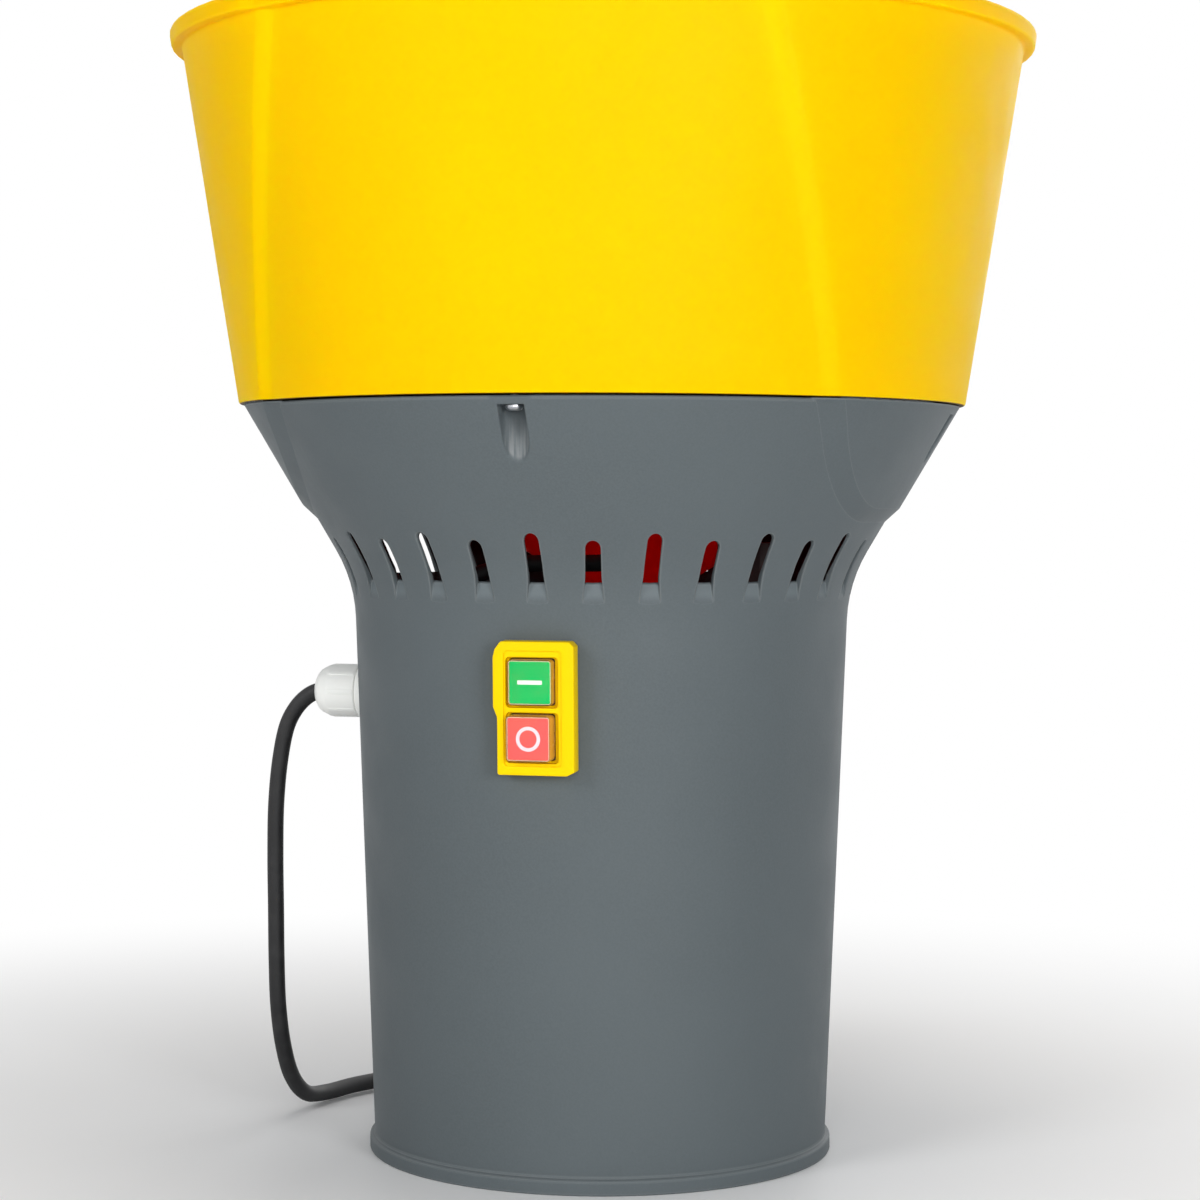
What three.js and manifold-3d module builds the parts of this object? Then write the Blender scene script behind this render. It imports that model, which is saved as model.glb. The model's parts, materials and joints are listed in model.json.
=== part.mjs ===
// Electric grain crusher: a yellow hopper on a grey moulded body that holds an upright motor,
// a feed funnel with a slide gate, a crushing chamber with two hammer blades and a sieve,
// and a two-button switch. Millimetres, +Z up, front at -Y, the body's axis on the Z axis.
import * as THREE from "three";
import { mergeVertices } from "three/addons/utils/BufferGeometryUtils.js";
import Module from "manifold-3d";

const wasm = await Module();
wasm.setup();

// Shared clearances and fineness
const seatGap = 0.3; // between two pieces that touch
const overrun = 5; // how far a cutting shape reaches past what it cuts
const weldDistance = 0.0001;
const hullSides = 60; // facets round the body, a multiple of the slots
const hopperSides = 36;
const drumSides = 32;
const fineSides = 18;
const boltSides = 10;
const boreSides = 16;
const holeSides = 8;
const fixingCount = 3; // screws or studs on each inner fixing circle
const fixingAngle = 60; // degrees, for the circles that stand between the studs

// Body shell
const baseRadius = 122.9; // outside, at the foot
const draftAngle = 2.32; // degrees, the cylinder widens upwards
const seamHeight = 404; // where the hopper sits
const seamRadius = 191.6; // outside, front and back
const coneAngle = 30.5; // degrees from upright
const flareRadius = 80; // blend between cylinder and cone
const flareSteps = 2;
const draftSlope = Math.tan((draftAngle * Math.PI) / 180);
const coneSlope = Math.tan((coneAngle * Math.PI) / 180);
const flareHeight = (seamRadius - seamHeight * coneSlope - baseRadius) / (draftSlope - coneSlope);
const bodyWall = 3.5;
const flangeThick = 4.5; // inward rim under the hopper
const flangeWidth = 19.6;
const mouthRadius = seamRadius - flangeWidth;
const beadHeight = 8; // stiffening bead round the foot
const beadRise = 3;

// Proud panels on the two sides of the body
const panelRise = 3.7;
const panelTopHalf = 122; // half width at the seam
const panelKneeHalf = 100;
const panelKneeDrop = 26; // below the seam
const panelFootHalf = 38;
const panelFootDrop = 58.5;
const panelCornerHalf = 72;

// Vent slots
const slotCount = 30;
const slotWidth = 7.8;
const slotTallRise = 27.7; // above the flare's corner
const slotShortRise = 24.1;
const slotFluteDrop = 18.6; // below it
const slotFluteHalf = 5; // half width of the flute at its foot
const slotFluteDepth = 0.6;
const slotReach = 40;

// Screw pockets under the seam, and their screws
const pocketCount = 4;
const pocketRadius = 6.6;
const pocketInset = 10; // its circle, from the seam's edge
const pocketDepth = 42;
const pocketCircle = seamRadius - pocketInset;
const pocketBottom = seamHeight - pocketDepth;
const pocketWall = 2.4;
const hopperScrewRadius = 2.2;
const hopperScrewHeadRadius = 4.6;
const hopperScrewHeadHeight = 2.6;
const hopperScrewLength = 15;
const screwSlotWidth = 1.2;

// Hopper
const hopperOverhang = 2.8; // past the seam's edge
const hopperFootRadius = seamRadius + hopperOverhang; // outside, front and back
const hopperFlare = 9.2; // degrees from upright
const hopperHeight = 202;
const hopperTop = seamHeight + hopperHeight;
const hopperWall = 3.5;
const hopperFloorThick = 4;
const hopperPanelRise = 3.8;
const hopperPanelFootHalf = 127;
const hopperPanelTopHalf = 189.5;
const rimLip = 6; // turned-out lip round the rim
const rimHeight = 9;
const floorDipInset = 26.4; // the floor dips inside this ring, measured from the foot's edge
const floorDipWidth = 18;
const floorSink = 14; // the ring's underside, below the seam
const funnelHoleInset = 59.9;
const floorDipOuter = hopperFootRadius - floorDipInset;
const floorDipInner = floorDipOuter - floorDipWidth;
const floorHeight = seamHeight - floorSink;
const funnelHoleRadius = hopperFootRadius - funnelHoleInset;
const hopperBossRadius = 7;
const hopperBossHeight = 12;

// Feed funnel, gate and duct, all centred on the oval spout behind the axis
const spoutY = 82;
const spoutHalfX = 31;
const spoutHalfY = 19.5;
const ductWall = 2.5;
const funnelFlangeInset = 1; // within the sunk floor ring
const funnelFlangeThick = 3.3;
const funnelTopOverlap = 2.5; // wider than the floor's hole
const funnelCollarHeight = 6;
const funnelDepth = 84;
const funnelFlangeRadius = floorDipInner - funnelFlangeInset;
const funnelTopRadius = funnelHoleRadius + funnelTopOverlap;
const funnelConeTop = floorHeight - funnelCollarHeight;
const funnelConeFoot = floorHeight - funnelDepth;
const funnelSides = 28;
const ovalSegments = 10;
const spoutCollarHeight = 25;
const gateGuideHeight = 10.7;
const gateDrop = 5.8; // from the guide's top to the middle of the gate plate
const gateGuideTop = funnelConeFoot - spoutCollarHeight;
const gateGuideBottom = gateGuideTop - gateGuideHeight;
const gateGuideHalfX = 38;
const gateGuideFront = 60;
const gateGuideBack = 108;
const gateZ = gateGuideTop - gateDrop;
const gateThick = 2;
const gateHalfX = 34;
const gateFront = 62.6;
const gateBack = 141;
const gateHandleHalfX = 24;
const gateHandleDepth = 9;
const gateHandleHeight = 20;
const funnelScrewRadius = 2;
const funnelScrewHeadRadius = 4;
const funnelScrewInset = 6; // from the flange's edge
const funnelScrewCircle = funnelFlangeRadius - funnelScrewInset;

// Crushing chamber
const plateZ = 96.3; // underside of the chamber plate
const plateThick = 3;
const plateInset = 3.9; // its edge, from the body's outside at the foot
const shaftHoleRadius = 14;
const drumInset = 18.4;
const drumWall = 2.5;
const plateRadius = baseRadius - plateInset;
const drumRadius = baseRadius - drumInset;
const drumFoot = 49;
const bossInset = 7.4;
const bossCircle = baseRadius - bossInset;
const bossRadius = 6;
const bossHeight = 34;
const plateScrewRadius = 2.4;
const plateScrewHeadRadius = 4.6;
const plateScrewHeadHeight = 3;
const plateScrewLength = 20;
const sieveInset = 0.5; // within the drum's edge
const sieveRadius = drumRadius - sieveInset;
const sieveThick = 2;
const sieveHoleRadius = 4.2;
const sieveRowPitch = 24;
const sieveRows = 3;
const sieveHolesPerRow = 6; // the first row's count, and how much each row adds
const sieveRingThick = 3;
const sieveRingOuterReach = 12.5; // past the drum's edge
const sieveRingInnerReach = 7.5; // within it
const studReach = 6;
const sieveRingRadius = drumRadius + sieveRingOuterReach;
const sieveRingInner = drumRadius - sieveRingInnerReach;
const studCircle = drumRadius + studReach;
const studRadius = 3;
const studHeadRadius = 5.6;
const studHeadHeight = 3.4;
const studFoot = 31;
const wingHubRadius = 5.4;
const wingHubTaperShare = 0.8;
const wingHubHeight = 6;
const wingSpan = 26;
const wingHeight = 11;
const wingThick = 2.6;

// Rotor: shaft, core, fan and blades
const shaftRadius = 9.5;
const shaftFoot = 53;
const collarRadius = 17;
const collarTop = 92;
const collarHeight = 12;
const bladeGap = 7; // from the tips to the drum
const bladeReach = drumRadius - drumWall - bladeGap;
const bladeWidth = 34;
const bladeThick = 4;
const bladeTipBevel = 12;
const bladeSpacerHeight = 7.4;
const bladeSpacerRadius = 16;
const washerRadius = 15;
const washerThick = 2;
const nutRadius = 13;
const nutHeight = 6.2;
const coreRadius = 32;
const coreFoot = 142;
const coreInset = 12; // below the stator's top
const fanDrop = 15; // below the cowl's top
const fanHeight = 10;
const fanRadius = 50;
const fanHubRadius = 15;
const fanBladeCount = 7;
const fanBladeThick = 2.4;

// Motor case
const statorRadius = 55;
const statorRibRadius = 58;
const statorRibCount = 12;
const statorRibWidth = 3.4;
const statorBore = 33.4;
const statorFoot = 128.3;
const bellRadius = 55;
const bellFootHeight = 28.4;
const bellTopHeight = 21;
const bearingRadius = 20;
const bearingHeight = 12;
const bearingLip = 4; // bell metal beyond the bearing
const cowlRadius = 57.5;
const cowlWall = 1.5;
const cowlGap = 5; // under the funnel's cone
const cowlHeight = 39;
const shaftEndDrop = 4; // below the cowl's top
const cowlTop = funnelConeFoot - cowlGap;
const statorTop = cowlTop - cowlHeight;
const coreTop = statorTop - coreInset;
const fanFoot = cowlTop - fanDrop;
const shaftTop = cowlTop - shaftEndDrop;
const cowlSlotCount = 12;
const cowlSlotInner = 18;
const cowlSlotOuter = 48;
const cowlSlotWidth = 6;
const motorBoltCircle = 46;
const motorBoltRadius = 3;
const motorBoltHeadRadius = 5.2;
const motorBoltHeadHeight = 3.8;
const motorBoltLength = 16;

// Capacitor and its clamp
const capacitorX = 80.5;
const capacitorY = 24;
const capacitorRadius = 20;
const capacitorHeight = 90;
const capacitorRise = 24; // past the foot of the funnel's cone
const capacitorTop = funnelConeFoot + capacitorRise;
const capacitorFoot = capacitorTop - capacitorHeight;
const capacitorStudHeight = 4;
const clampHeight = 12;
const clampDrop = 4; // below the stator's top
const clampFoot = statorTop - clampDrop - clampHeight;
const clampThick = 2.2;
const clampArmWidth = 8;

// Switch on the front of the cylinder, in a frame that leans with the draft
const switchDrop = 60.6; // its middle, below the flare's corner
const switchZ = flareHeight - switchDrop;
const bezelHalfX = 22.4;
const bezelHalfZ = 34.3;
const bezelProud = 10;
const bezelFloor = 5.5; // depth of the frame round the buttons
const bezelCorner = 4;
const bezelStepX = 2.1; // how far the lower left side is set in
const bezelStepTopShare = 0.02; // where the step starts, as a share of the half height
const bezelStepFootShare = -0.14;
const bezelFieldMargin = 5.6; // raised border round the sunk field
const bezelFieldDepth = 1.4;
const buttonSize = 23.4;
const buttonGap = 1.9; // round each button, inside the bezel's well
const buttonPitch = 28;
const buttonOffsetX = -2.2; // the wells sit left of the middle
const buttonOffsetZ = -0.9; // and a little low
const buttonTravel = 3;
const startProud = 0.6; // past the bezel's face
const stopProud = 4.4;
const bootWall = 1.3;
const switchBoxHalfX = 17;
const switchBoxHalfZ = 29;
const switchBoxDepth = 40;
const plungerHalf = 5;

// Cable gland on the left of the cylinder
const glandDrop = 62.6; // below the flare's corner
const glandZ = flareHeight - glandDrop;
const glandThreadRadius = 8;
const glandBore = 5.2;
const glandFlangeRadius = 15;
const glandFlangeThick = 5;
const glandBodyLength = 5;
const glandCapRadius = 14.6;
const glandCapLength = 16.7;
const glandDomeLength = 8.2;
const glandMouthRadius = 7.4;
const glandDomeShares = [0.3, 0.65]; // of the dome's quarter turn, where its profile has points
const glandRibCount = 8;
const glandRibRise = 0.9;
const locknutRadius = 14;
const locknutThick = 5;
const locknutGap = 1; // the wall it tightens on is round and drafted

// Mains lead
const cordRadius = 4.6;
const cordSides = 8;
const cordSteps = 32;
const coilX = -47;
const coilY = 194;
const coilOuter = 58; // middle of the outermost turn
const coilPitch = 9.9; // from turn to turn and from layer to layer
const coilTurns = 4.25;
const coilSidesPerTurn = 24;
const coilSides = 6;
const coilClimbTurns = 0.5;
const coilLift = 1.3; // lowest turns over the surface, for the tie to pass under
const tieThick = 0.9;
const tieWidth = 14;
const tieSlack = 0.8;
const tieTurnShare = 0.5; // how far round the ring the tie sits
const plugLength = 42;
const plugHalfWidth = 17;
const plugHalfThick = 15.4;
const plugNoseLength = 12;
const plugShoulderLength = 18; // where the sides turn straight
const plugNoseHalfWidth = 9;
const plugReliefLength = 24;
const plugReliefRadius = 5.5;
const plugPinRadius = 2.4;
const plugPinLength = 19;
const plugPinHalfPitch = 9.5;

// Motor lead inside the body
const leadRadius = 4.5;
const leadSides = 6;
const leadSteps = 22;

// Finishes
const finishes = {
  greyPlastic: { color: 0x646b6e, roughness: 0.55, metalness: 0 },
  yellowPlastic: { color: 0xffd400, roughness: 0.4, metalness: 0 },
  switchYellow: { color: 0xffee00, roughness: 0.4, metalness: 0 },
  redPlastic: { color: 0xc80808, roughness: 0.4, metalness: 0 },
  greenPlastic: { color: 0x00c853, roughness: 0.4, metalness: 0 },
  buttonRed: { color: 0xff4b4b, roughness: 0.4, metalness: 0 },
  clearPlastic: { color: 0xd8dcd0, roughness: 0.2, metalness: 0 },
  whitePlastic: { color: 0xe6e8ea, roughness: 0.45, metalness: 0 },
  blackPlastic: { color: 0x1a1b1d, roughness: 0.55, metalness: 0 },
  cordRubber: { color: 0x17181a, roughness: 0.6, metalness: 0 },
  steel: { color: 0xb8bcc0, roughness: 0.35, metalness: 1 },
  darkSteel: { color: 0x4a4e52, roughness: 0.5, metalness: 1 },
  castAluminium: { color: 0x9aa0a4, roughness: 0.55, metalness: 1 },
};

const crusher = new THREE.Group();
const deg = THREE.MathUtils.degToRad;

// Solids from closed three.js geometry
function toSolid(geometry) {
  const bare = geometry.clone();
  bare.deleteAttribute("normal");
  bare.deleteAttribute("uv");
  const welded = mergeVertices(bare, weldDistance);
  const index = welded.index.array;
  const kept = [];
  for (let i = 0; i < index.length; i += 3) {
    const [a, b, c] = [index[i], index[i + 1], index[i + 2]];
    if (a !== b && b !== c && c !== a) kept.push(a, b, c);
  }
  return new wasm.Manifold(
    new wasm.Mesh({
      numProp: 3,
      vertProperties: welded.attributes.position.array,
      triVerts: new Uint32Array(kept),
    }),
  );
}

function toGeometry(solid) {
  const mesh = solid.getMesh();
  const geometry = new THREE.BufferGeometry();
  geometry.setAttribute("position", new THREE.BufferAttribute(mesh.vertProperties, 3));
  geometry.setIndex(new THREE.BufferAttribute(mesh.triVerts, 1));
  geometry.computeVertexNormals();
  return geometry;
}

function join(...solids) {
  return solids.reduce((whole, next) => whole.add(next));
}

function cut(solid, ...tools) {
  return tools.reduce((whole, tool) => whole.subtract(tool), solid);
}

function place(geometry, x, y, z) {
  return geometry.translate(x, y, z);
}

// Geometry of revolution about Z from [radius, height] pairs, outer side listed upwards;
// a facet's middle, not its edge, faces the front, so that a slot there lies on one facet
function lathe(pairs, sides) {
  const points = pairs.map(([r, z]) => new THREE.Vector2(r, z));
  return new THREE.LatheGeometry(points, sides, Math.PI / sides).rotateX(Math.PI / 2);
}

function revolve(pairs, sides) {
  return toSolid(lathe(pairs, sides));
}

// A ring of revolution: the profile closes on itself
function revolveRing(pairs, sides) {
  return revolve([...pairs, pairs[0]], sides);
}

function cylinder(radius, low, high, sides) {
  const geometry = new THREE.CylinderGeometry(radius, radius, high - low, sides);
  return place(geometry.rotateX(Math.PI / 2), 0, 0, (low + high) / 2);
}

function rod(radius, low, high, sides, x = 0, y = 0) {
  return toSolid(place(cylinder(radius, low, high, sides), x, y, 0));
}

function ring(outer, inner, low, high, sides, x = 0, y = 0) {
  return cut(
    rod(outer, low, high, sides, x, y),
    rod(inner, low - overrun, high + overrun, sides, x, y),
  );
}

function box(lowX, highX, lowY, highY, lowZ, highZ) {
  const geometry = new THREE.BoxGeometry(highX - lowX, highY - lowY, highZ - lowZ);
  return place(geometry, (lowX + highX) / 2, (lowY + highY) / 2, (lowZ + highZ) / 2);
}

function block(...limits) {
  return toSolid(box(...limits));
}

function shapeOf(pairs) {
  return new THREE.Shape(pairs.map(([x, y]) => new THREE.Vector2(x, y)));
}

function extrudeUp(shape, low, high, curveSegments = 8) {
  const geometry = new THREE.ExtrudeGeometry(shape, {
    depth: high - low,
    bevelEnabled: false,
    curveSegments,
  });
  return place(geometry, 0, 0, low);
}

// The outline's first axis along X and its second along Z, extruded towards the front
function extrudeForward(shape, near, far, curveSegments = 8) {
  return extrudeUp(shape, near, far, curveSegments).rotateX(Math.PI / 2);
}

// The outline's first axis along Y and its second along Z, through the whole width
function extrudeAcross(shape, halfWidth, curveSegments = 8) {
  const geometry = extrudeUp(shape, -halfWidth, halfWidth, curveSegments);
  return geometry.rotateX(Math.PI / 2).rotateZ(Math.PI / 2);
}

function ovalShape(halfX, halfY, y) {
  const shape = new THREE.Shape();
  shape.absellipse(0, y, halfX, halfY, 0, Math.PI * 2);
  return shape;
}

// A round tube along a smooth path through the given points
function tubeAlong(points, radius, sides, steps) {
  const section = new THREE.Shape();
  for (let i = 0; i < sides; i++) {
    const angle = (i / sides) * Math.PI * 2;
    const [x, y] = [radius * Math.cos(angle), radius * Math.sin(angle)];
    if (i === 0) section.moveTo(x, y);
    else section.lineTo(x, y);
  }
  const path = new THREE.CatmullRomCurve3(points.map((p) => new THREE.Vector3(...p)));
  return toSolid(
    new THREE.ExtrudeGeometry(section, { steps, bevelEnabled: false, extrudePath: path }),
  );
}

// A body skinned over rings of equal point count; it closes from the last ring to the first
function skin(rings) {
  const count = rings[0].length;
  const positions = rings.flat().flatMap((p) => [p.x, p.y, p.z]);
  const index = [];
  rings.forEach((_, level) => {
    const next = (level + 1) % rings.length;
    for (let i = 0; i < count; i++) {
      const j = (i + 1) % count;
      const [a, b] = [level * count + i, level * count + j];
      const [c, d] = [next * count + j, next * count + i];
      index.push(a, b, c, a, c, d);
    }
  });
  const geometry = new THREE.BufferGeometry();
  geometry.setAttribute("position", new THREE.Float32BufferAttribute(positions, 3));
  geometry.setIndex(index);
  return toSolid(geometry);
}

function addPiece(name, solid, finish, parent = crusher) {
  const material = new THREE.MeshStandardMaterial(finishes[finish]);
  const mesh = new THREE.Mesh(toGeometry(solid), material);
  mesh.name = name;
  parent.add(mesh);
  return mesh;
}

// Points round the axis, as [x, y], for a fixing circle; the first angle is from the front
function circlePlaces(count, radius, firstAngle = 0) {
  return Array.from({ length: count }, (_, i) => {
    const angle = deg(firstAngle) + (i / count) * Math.PI * 2;
    return [radius * Math.sin(angle), -radius * Math.cos(angle)];
  });
}

// The body's outside radius and outline

function cylinderRadius(z) {
  return baseRadius + z * draftSlope;
}

// Outline from the foot to the given height, set in from the outside wall
function bodyOutline(inset, top) {
  const [low, high] = [deg(draftAngle), deg(coneAngle)];
  const reach = flareRadius * Math.tan((high - low) / 2);
  const startR = cylinderRadius(flareHeight) - reach * Math.sin(low);
  const startZ = flareHeight - reach * Math.cos(low);
  const centreR = startR + flareRadius * Math.cos(low);
  const centreZ = startZ - flareRadius * Math.sin(low);
  const pairs = [[baseRadius - inset, 0]];
  for (let i = 0; i <= flareSteps; i++) {
    const angle = low + (i / flareSteps) * (high - low);
    const r = centreR - flareRadius * Math.cos(angle) - inset;
    pairs.push([r, centreZ + flareRadius * Math.sin(angle)]);
  }
  pairs.push([seamRadius - (seamHeight - top) * coneSlope - inset, top]);
  return pairs;
}

function bodyCore(grow) {
  const [foot, ...rest] = bodyOutline(-grow, seamHeight);
  const bead = foot[0] + beadRise;
  const pairs = [
    [0, 0],
    [bead, 0],
    [bead, beadHeight],
    [cylinderRadius(beadHeight) + grow, beadHeight],
    ...rest,
    [0, seamHeight],
  ];
  return revolve(pairs, hullSides);
}

function bodyHollow() {
  const top = seamHeight - flangeThick;
  const [foot, ...rest] = bodyOutline(bodyWall, top);
  const pairs = [
    [0, -overrun],
    [foot[0], -overrun],
    foot,
    ...rest,
    [mouthRadius, top],
    [mouthRadius, seamHeight + overrun],
    [0, seamHeight + overrun],
  ];
  return revolve(pairs, hullSides);
}

function bodyPanelPrism() {
  const shape = new THREE.Shape();
  const side = (panelTopHalf - panelKneeHalf) / panelKneeDrop;
  const [kneeZ, footZ] = [seamHeight - panelKneeDrop, seamHeight - panelFootDrop];
  const topHalf = panelTopHalf + overrun * side;
  shape.moveTo(-topHalf, seamHeight + overrun);
  shape.lineTo(-panelKneeHalf, kneeZ);
  shape.quadraticCurveTo(-panelCornerHalf, footZ, -panelFootHalf, footZ);
  shape.lineTo(panelFootHalf, footZ);
  shape.quadraticCurveTo(panelCornerHalf, footZ, panelKneeHalf, kneeZ);
  shape.lineTo(topHalf, seamHeight + overrun);
  return toSolid(extrudeAcross(shape, seamRadius * 2, 6));
}

function slotOutline(top) {
  const half = slotWidth / 2;
  const shape = new THREE.Shape();
  shape.moveTo(-slotFluteHalf, flareHeight - slotFluteDrop);
  shape.lineTo(slotFluteHalf, flareHeight - slotFluteDrop);
  shape.absarc(0, top - half, half, 0, Math.PI, false);
  return shape;
}

// Each slot is drawn straight out along the cylinder's drafted side, so it leaves a flute below
function slotCutter(number) {
  const outline = slotOutline(flareHeight + (number % 2 === 0 ? slotTallRise : slotShortRise));
  const near = baseRadius - slotFluteDepth;
  const geometry = extrudeForward(outline, near, near + slotReach, 2);
  const lean = new THREE.Matrix4().set(1, 0, 0, 0, 0, 1, -draftSlope, 0, 0, 0, 1, 0, 0, 0, 0, 1);
  geometry.applyMatrix4(lean);
  return toSolid(geometry.rotateZ((number / slotCount) * Math.PI * 2));
}

// A channel with a half-round inner end, open outwards
function pocketPrism(radius, low, high, angle) {
  const shape = new THREE.Shape();
  shape.moveTo(-radius, -(pocketCircle + slotReach));
  shape.lineTo(radius, -(pocketCircle + slotReach));
  shape.lineTo(radius, -pocketCircle);
  shape.absarc(0, -pocketCircle, radius, 0, Math.PI, false);
  return toSolid(extrudeUp(shape, low, high, 6).rotateZ(angle));
}

// The switch's own frame: X across, Y into the body, Z up the leaning wall
const switchFrame = new THREE.Group();
switchFrame.position.set(0, -cylinderRadius(switchZ), switchZ);
switchFrame.rotation.x = deg(draftAngle);
switchFrame.updateMatrix();
crusher.add(switchFrame);

// Turns geometry made along Z so that its heights run outwards from the axis at the gland
function towardsGland(geometry) {
  return place(geometry.rotateY(-Math.PI / 2), 0, 0, glandZ);
}

function bodyShell() {
  const outside = join(bodyCore(0), bodyCore(panelRise).intersect(bodyPanelPrism()));
  let shell = cut(outside, bodyHollow());
  for (let i = 0; i < pocketCount; i++) {
    const angle = (i / pocketCount) * Math.PI * 2;
    const liner = pocketPrism(pocketRadius + pocketWall, pocketBottom, seamHeight, angle);
    shell = shell.add(liner.intersect(outside));
  }
  for (let i = 0; i < pocketCount; i++) {
    const angle = (i / pocketCount) * Math.PI * 2;
    const top = seamHeight - flangeThick;
    shell = shell.subtract(pocketPrism(pocketRadius, pocketBottom - overrun, top, angle));
  }
  for (const [x, y] of circlePlaces(pocketCount, pocketCircle)) {
    const hole = hopperScrewRadius + seatGap;
    shell = shell.subtract(rod(hole, seamHeight - flangeThick * 2, seamHeight + overrun, holeSides, x, y));
  }
  const bossTop = plateZ - seatGap;
  for (const [x, y] of circlePlaces(fixingCount, bossCircle, fixingAngle)) {
    const boss = rod(bossRadius, bossTop - bossHeight, bossTop, boltSides, x, y);
    const hole = plateScrewRadius + seatGap;
    const bore = rod(hole, bossTop - plateScrewLength, bossTop + overrun, holeSides, x, y);
    const outwards = 1 + bossRadius / bossCircle;
    const root = rod(bossRadius, bossTop - bossHeight, bossTop, boltSides, x * outwards, y * outwards);
    shell = join(shell, boss, root.intersect(outside)).subtract(bore);
  }
  for (let i = 0; i < slotCount; i++) shell = shell.subtract(slotCutter(i));
  const [holeX, holeZ] = [switchBoxHalfX + seatGap, switchBoxHalfZ + seatGap];
  const switchBox = box(-holeX, holeX, -overrun, bodyWall + overrun, -holeZ, holeZ);
  const switchHole = toSolid(switchBox.applyMatrix4(switchFrame.matrix));
  const wallX = cylinderRadius(glandZ);
  const glandHole = toSolid(
    towardsGland(cylinder(glandThreadRadius + seatGap, wallX - slotReach, wallX + overrun, 16)),
  );
  const gateSlot = block(
    -gateHalfX - seatGap,
    gateHalfX + seatGap,
    baseRadius - slotReach / 2,
    baseRadius + slotReach,
    gateZ - gateThick / 2 - seatGap,
    gateZ + gateThick / 2 + seatGap,
  );
  return cut(shell, switchHole, glandHole, gateSlot);
}

// Hopper: closed section of the wall, floor and rim, pushed out by the given amount
function hopperOutline(push) {
  const slope = Math.tan(deg(hopperFlare));
  const foot = seamHeight + seatGap * 2;
  const radiusAt = (z) => hopperFootRadius + (z - foot) * slope + push;
  const floorTop = foot + hopperFloorThick;
  const lipFoot = hopperTop - rimHeight;
  return {
    outer: [
      [radiusAt(foot), foot],
      [radiusAt(lipFoot), lipFoot],
      [radiusAt(lipFoot) + rimLip, lipFoot],
      [radiusAt(hopperTop) + rimLip, hopperTop],
    ],
    inner: [
      [radiusAt(hopperTop) - hopperWall, hopperTop],
      [radiusAt(floorTop) - hopperWall, floorTop],
    ],
    floorTop,
    foot,
  };
}

function hopperPanelPrism(inset) {
  const foot = seamHeight + seatGap * 2;
  const spread = (hopperPanelTopHalf - hopperPanelFootHalf) / (hopperTop - foot);
  const footHalf = hopperPanelFootHalf - spread * overrun - inset;
  const topHalf = hopperPanelTopHalf + spread * overrun - inset;
  const shape = shapeOf([
    [-footHalf, foot - overrun],
    [footHalf, foot - overrun],
    [topHalf, hopperTop + overrun],
    [-topHalf, hopperTop + overrun],
  ]);
  return toSolid(extrudeAcross(shape, hopperFootRadius * 2));
}

function hopper() {
  const { outer, inner, floorTop, foot } = hopperOutline(0);
  const floorUnder = floorHeight + hopperFloorThick;
  const dipSlope = (foot - floorHeight) / (floorDipOuter - floorDipInner);
  const wall = revolveRing(
    [
      ...outer,
      ...inner,
      [floorDipOuter + hopperFloorThick * dipSlope, floorTop],
      [floorDipInner, floorUnder],
      [funnelHoleRadius, floorUnder],
      [funnelHoleRadius, floorHeight],
      [floorDipInner, floorHeight],
      [floorDipOuter, foot],
    ],
    hopperSides,
  );
  const proud = hopperOutline(hopperPanelRise);
  const core = [floorDipOuter, hopperTop];
  const bulge = revolveRing([...proud.outer, core, [floorDipOuter, foot]], hopperSides);
  const hollowTop = [proud.inner[0][0], hopperTop + overrun];
  const hollow = revolveRing(
    [proud.inner[1], proud.inner[0], hollowTop, [0, hopperTop + overrun], [0, floorTop]],
    hopperSides,
  );
  const hollowBase = revolveRing(
    [inner[1], inner[0], [inner[0][0], hopperTop + overrun], [0, hopperTop + overrun], [0, floorTop]],
    hopperSides,
  );
  const cavity = join(hollowBase, hollow.intersect(hopperPanelPrism(hopperWall)));
  let shell = wall.add(cut(bulge.intersect(hopperPanelPrism(0)), cavity));
  shell = shell.subtract(cavity);
  for (const [x, y] of circlePlaces(pocketCount, pocketCircle)) {
    const bossTop = foot + hopperBossHeight;
    const hole = hopperScrewRadius + seatGap;
    shell = shell.add(rod(hopperBossRadius, foot, bossTop, boltSides, x, y));
    shell = shell.subtract(rod(hole, foot - overrun, bossTop - hopperWall / 2, holeSides, x, y));
  }
  for (const [x, y] of circlePlaces(fixingCount, funnelScrewCircle, fixingAngle)) {
    const hole = funnelScrewRadius + seatGap;
    shell = shell.subtract(rod(hole, floorHeight - overrun, floorUnder + overrun, holeSides, x, y));
  }
  return shell;
}

// Feed funnel: an eccentric cone from the round flange to the oval spout
function ovalRing(halfX, halfY, y, z) {
  return Array.from({ length: funnelSides }, (_, i) => {
    const angle = (i / funnelSides) * Math.PI * 2;
    return new THREE.Vector3(halfX * Math.cos(angle), y + halfY * Math.sin(angle), z);
  });
}

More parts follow.
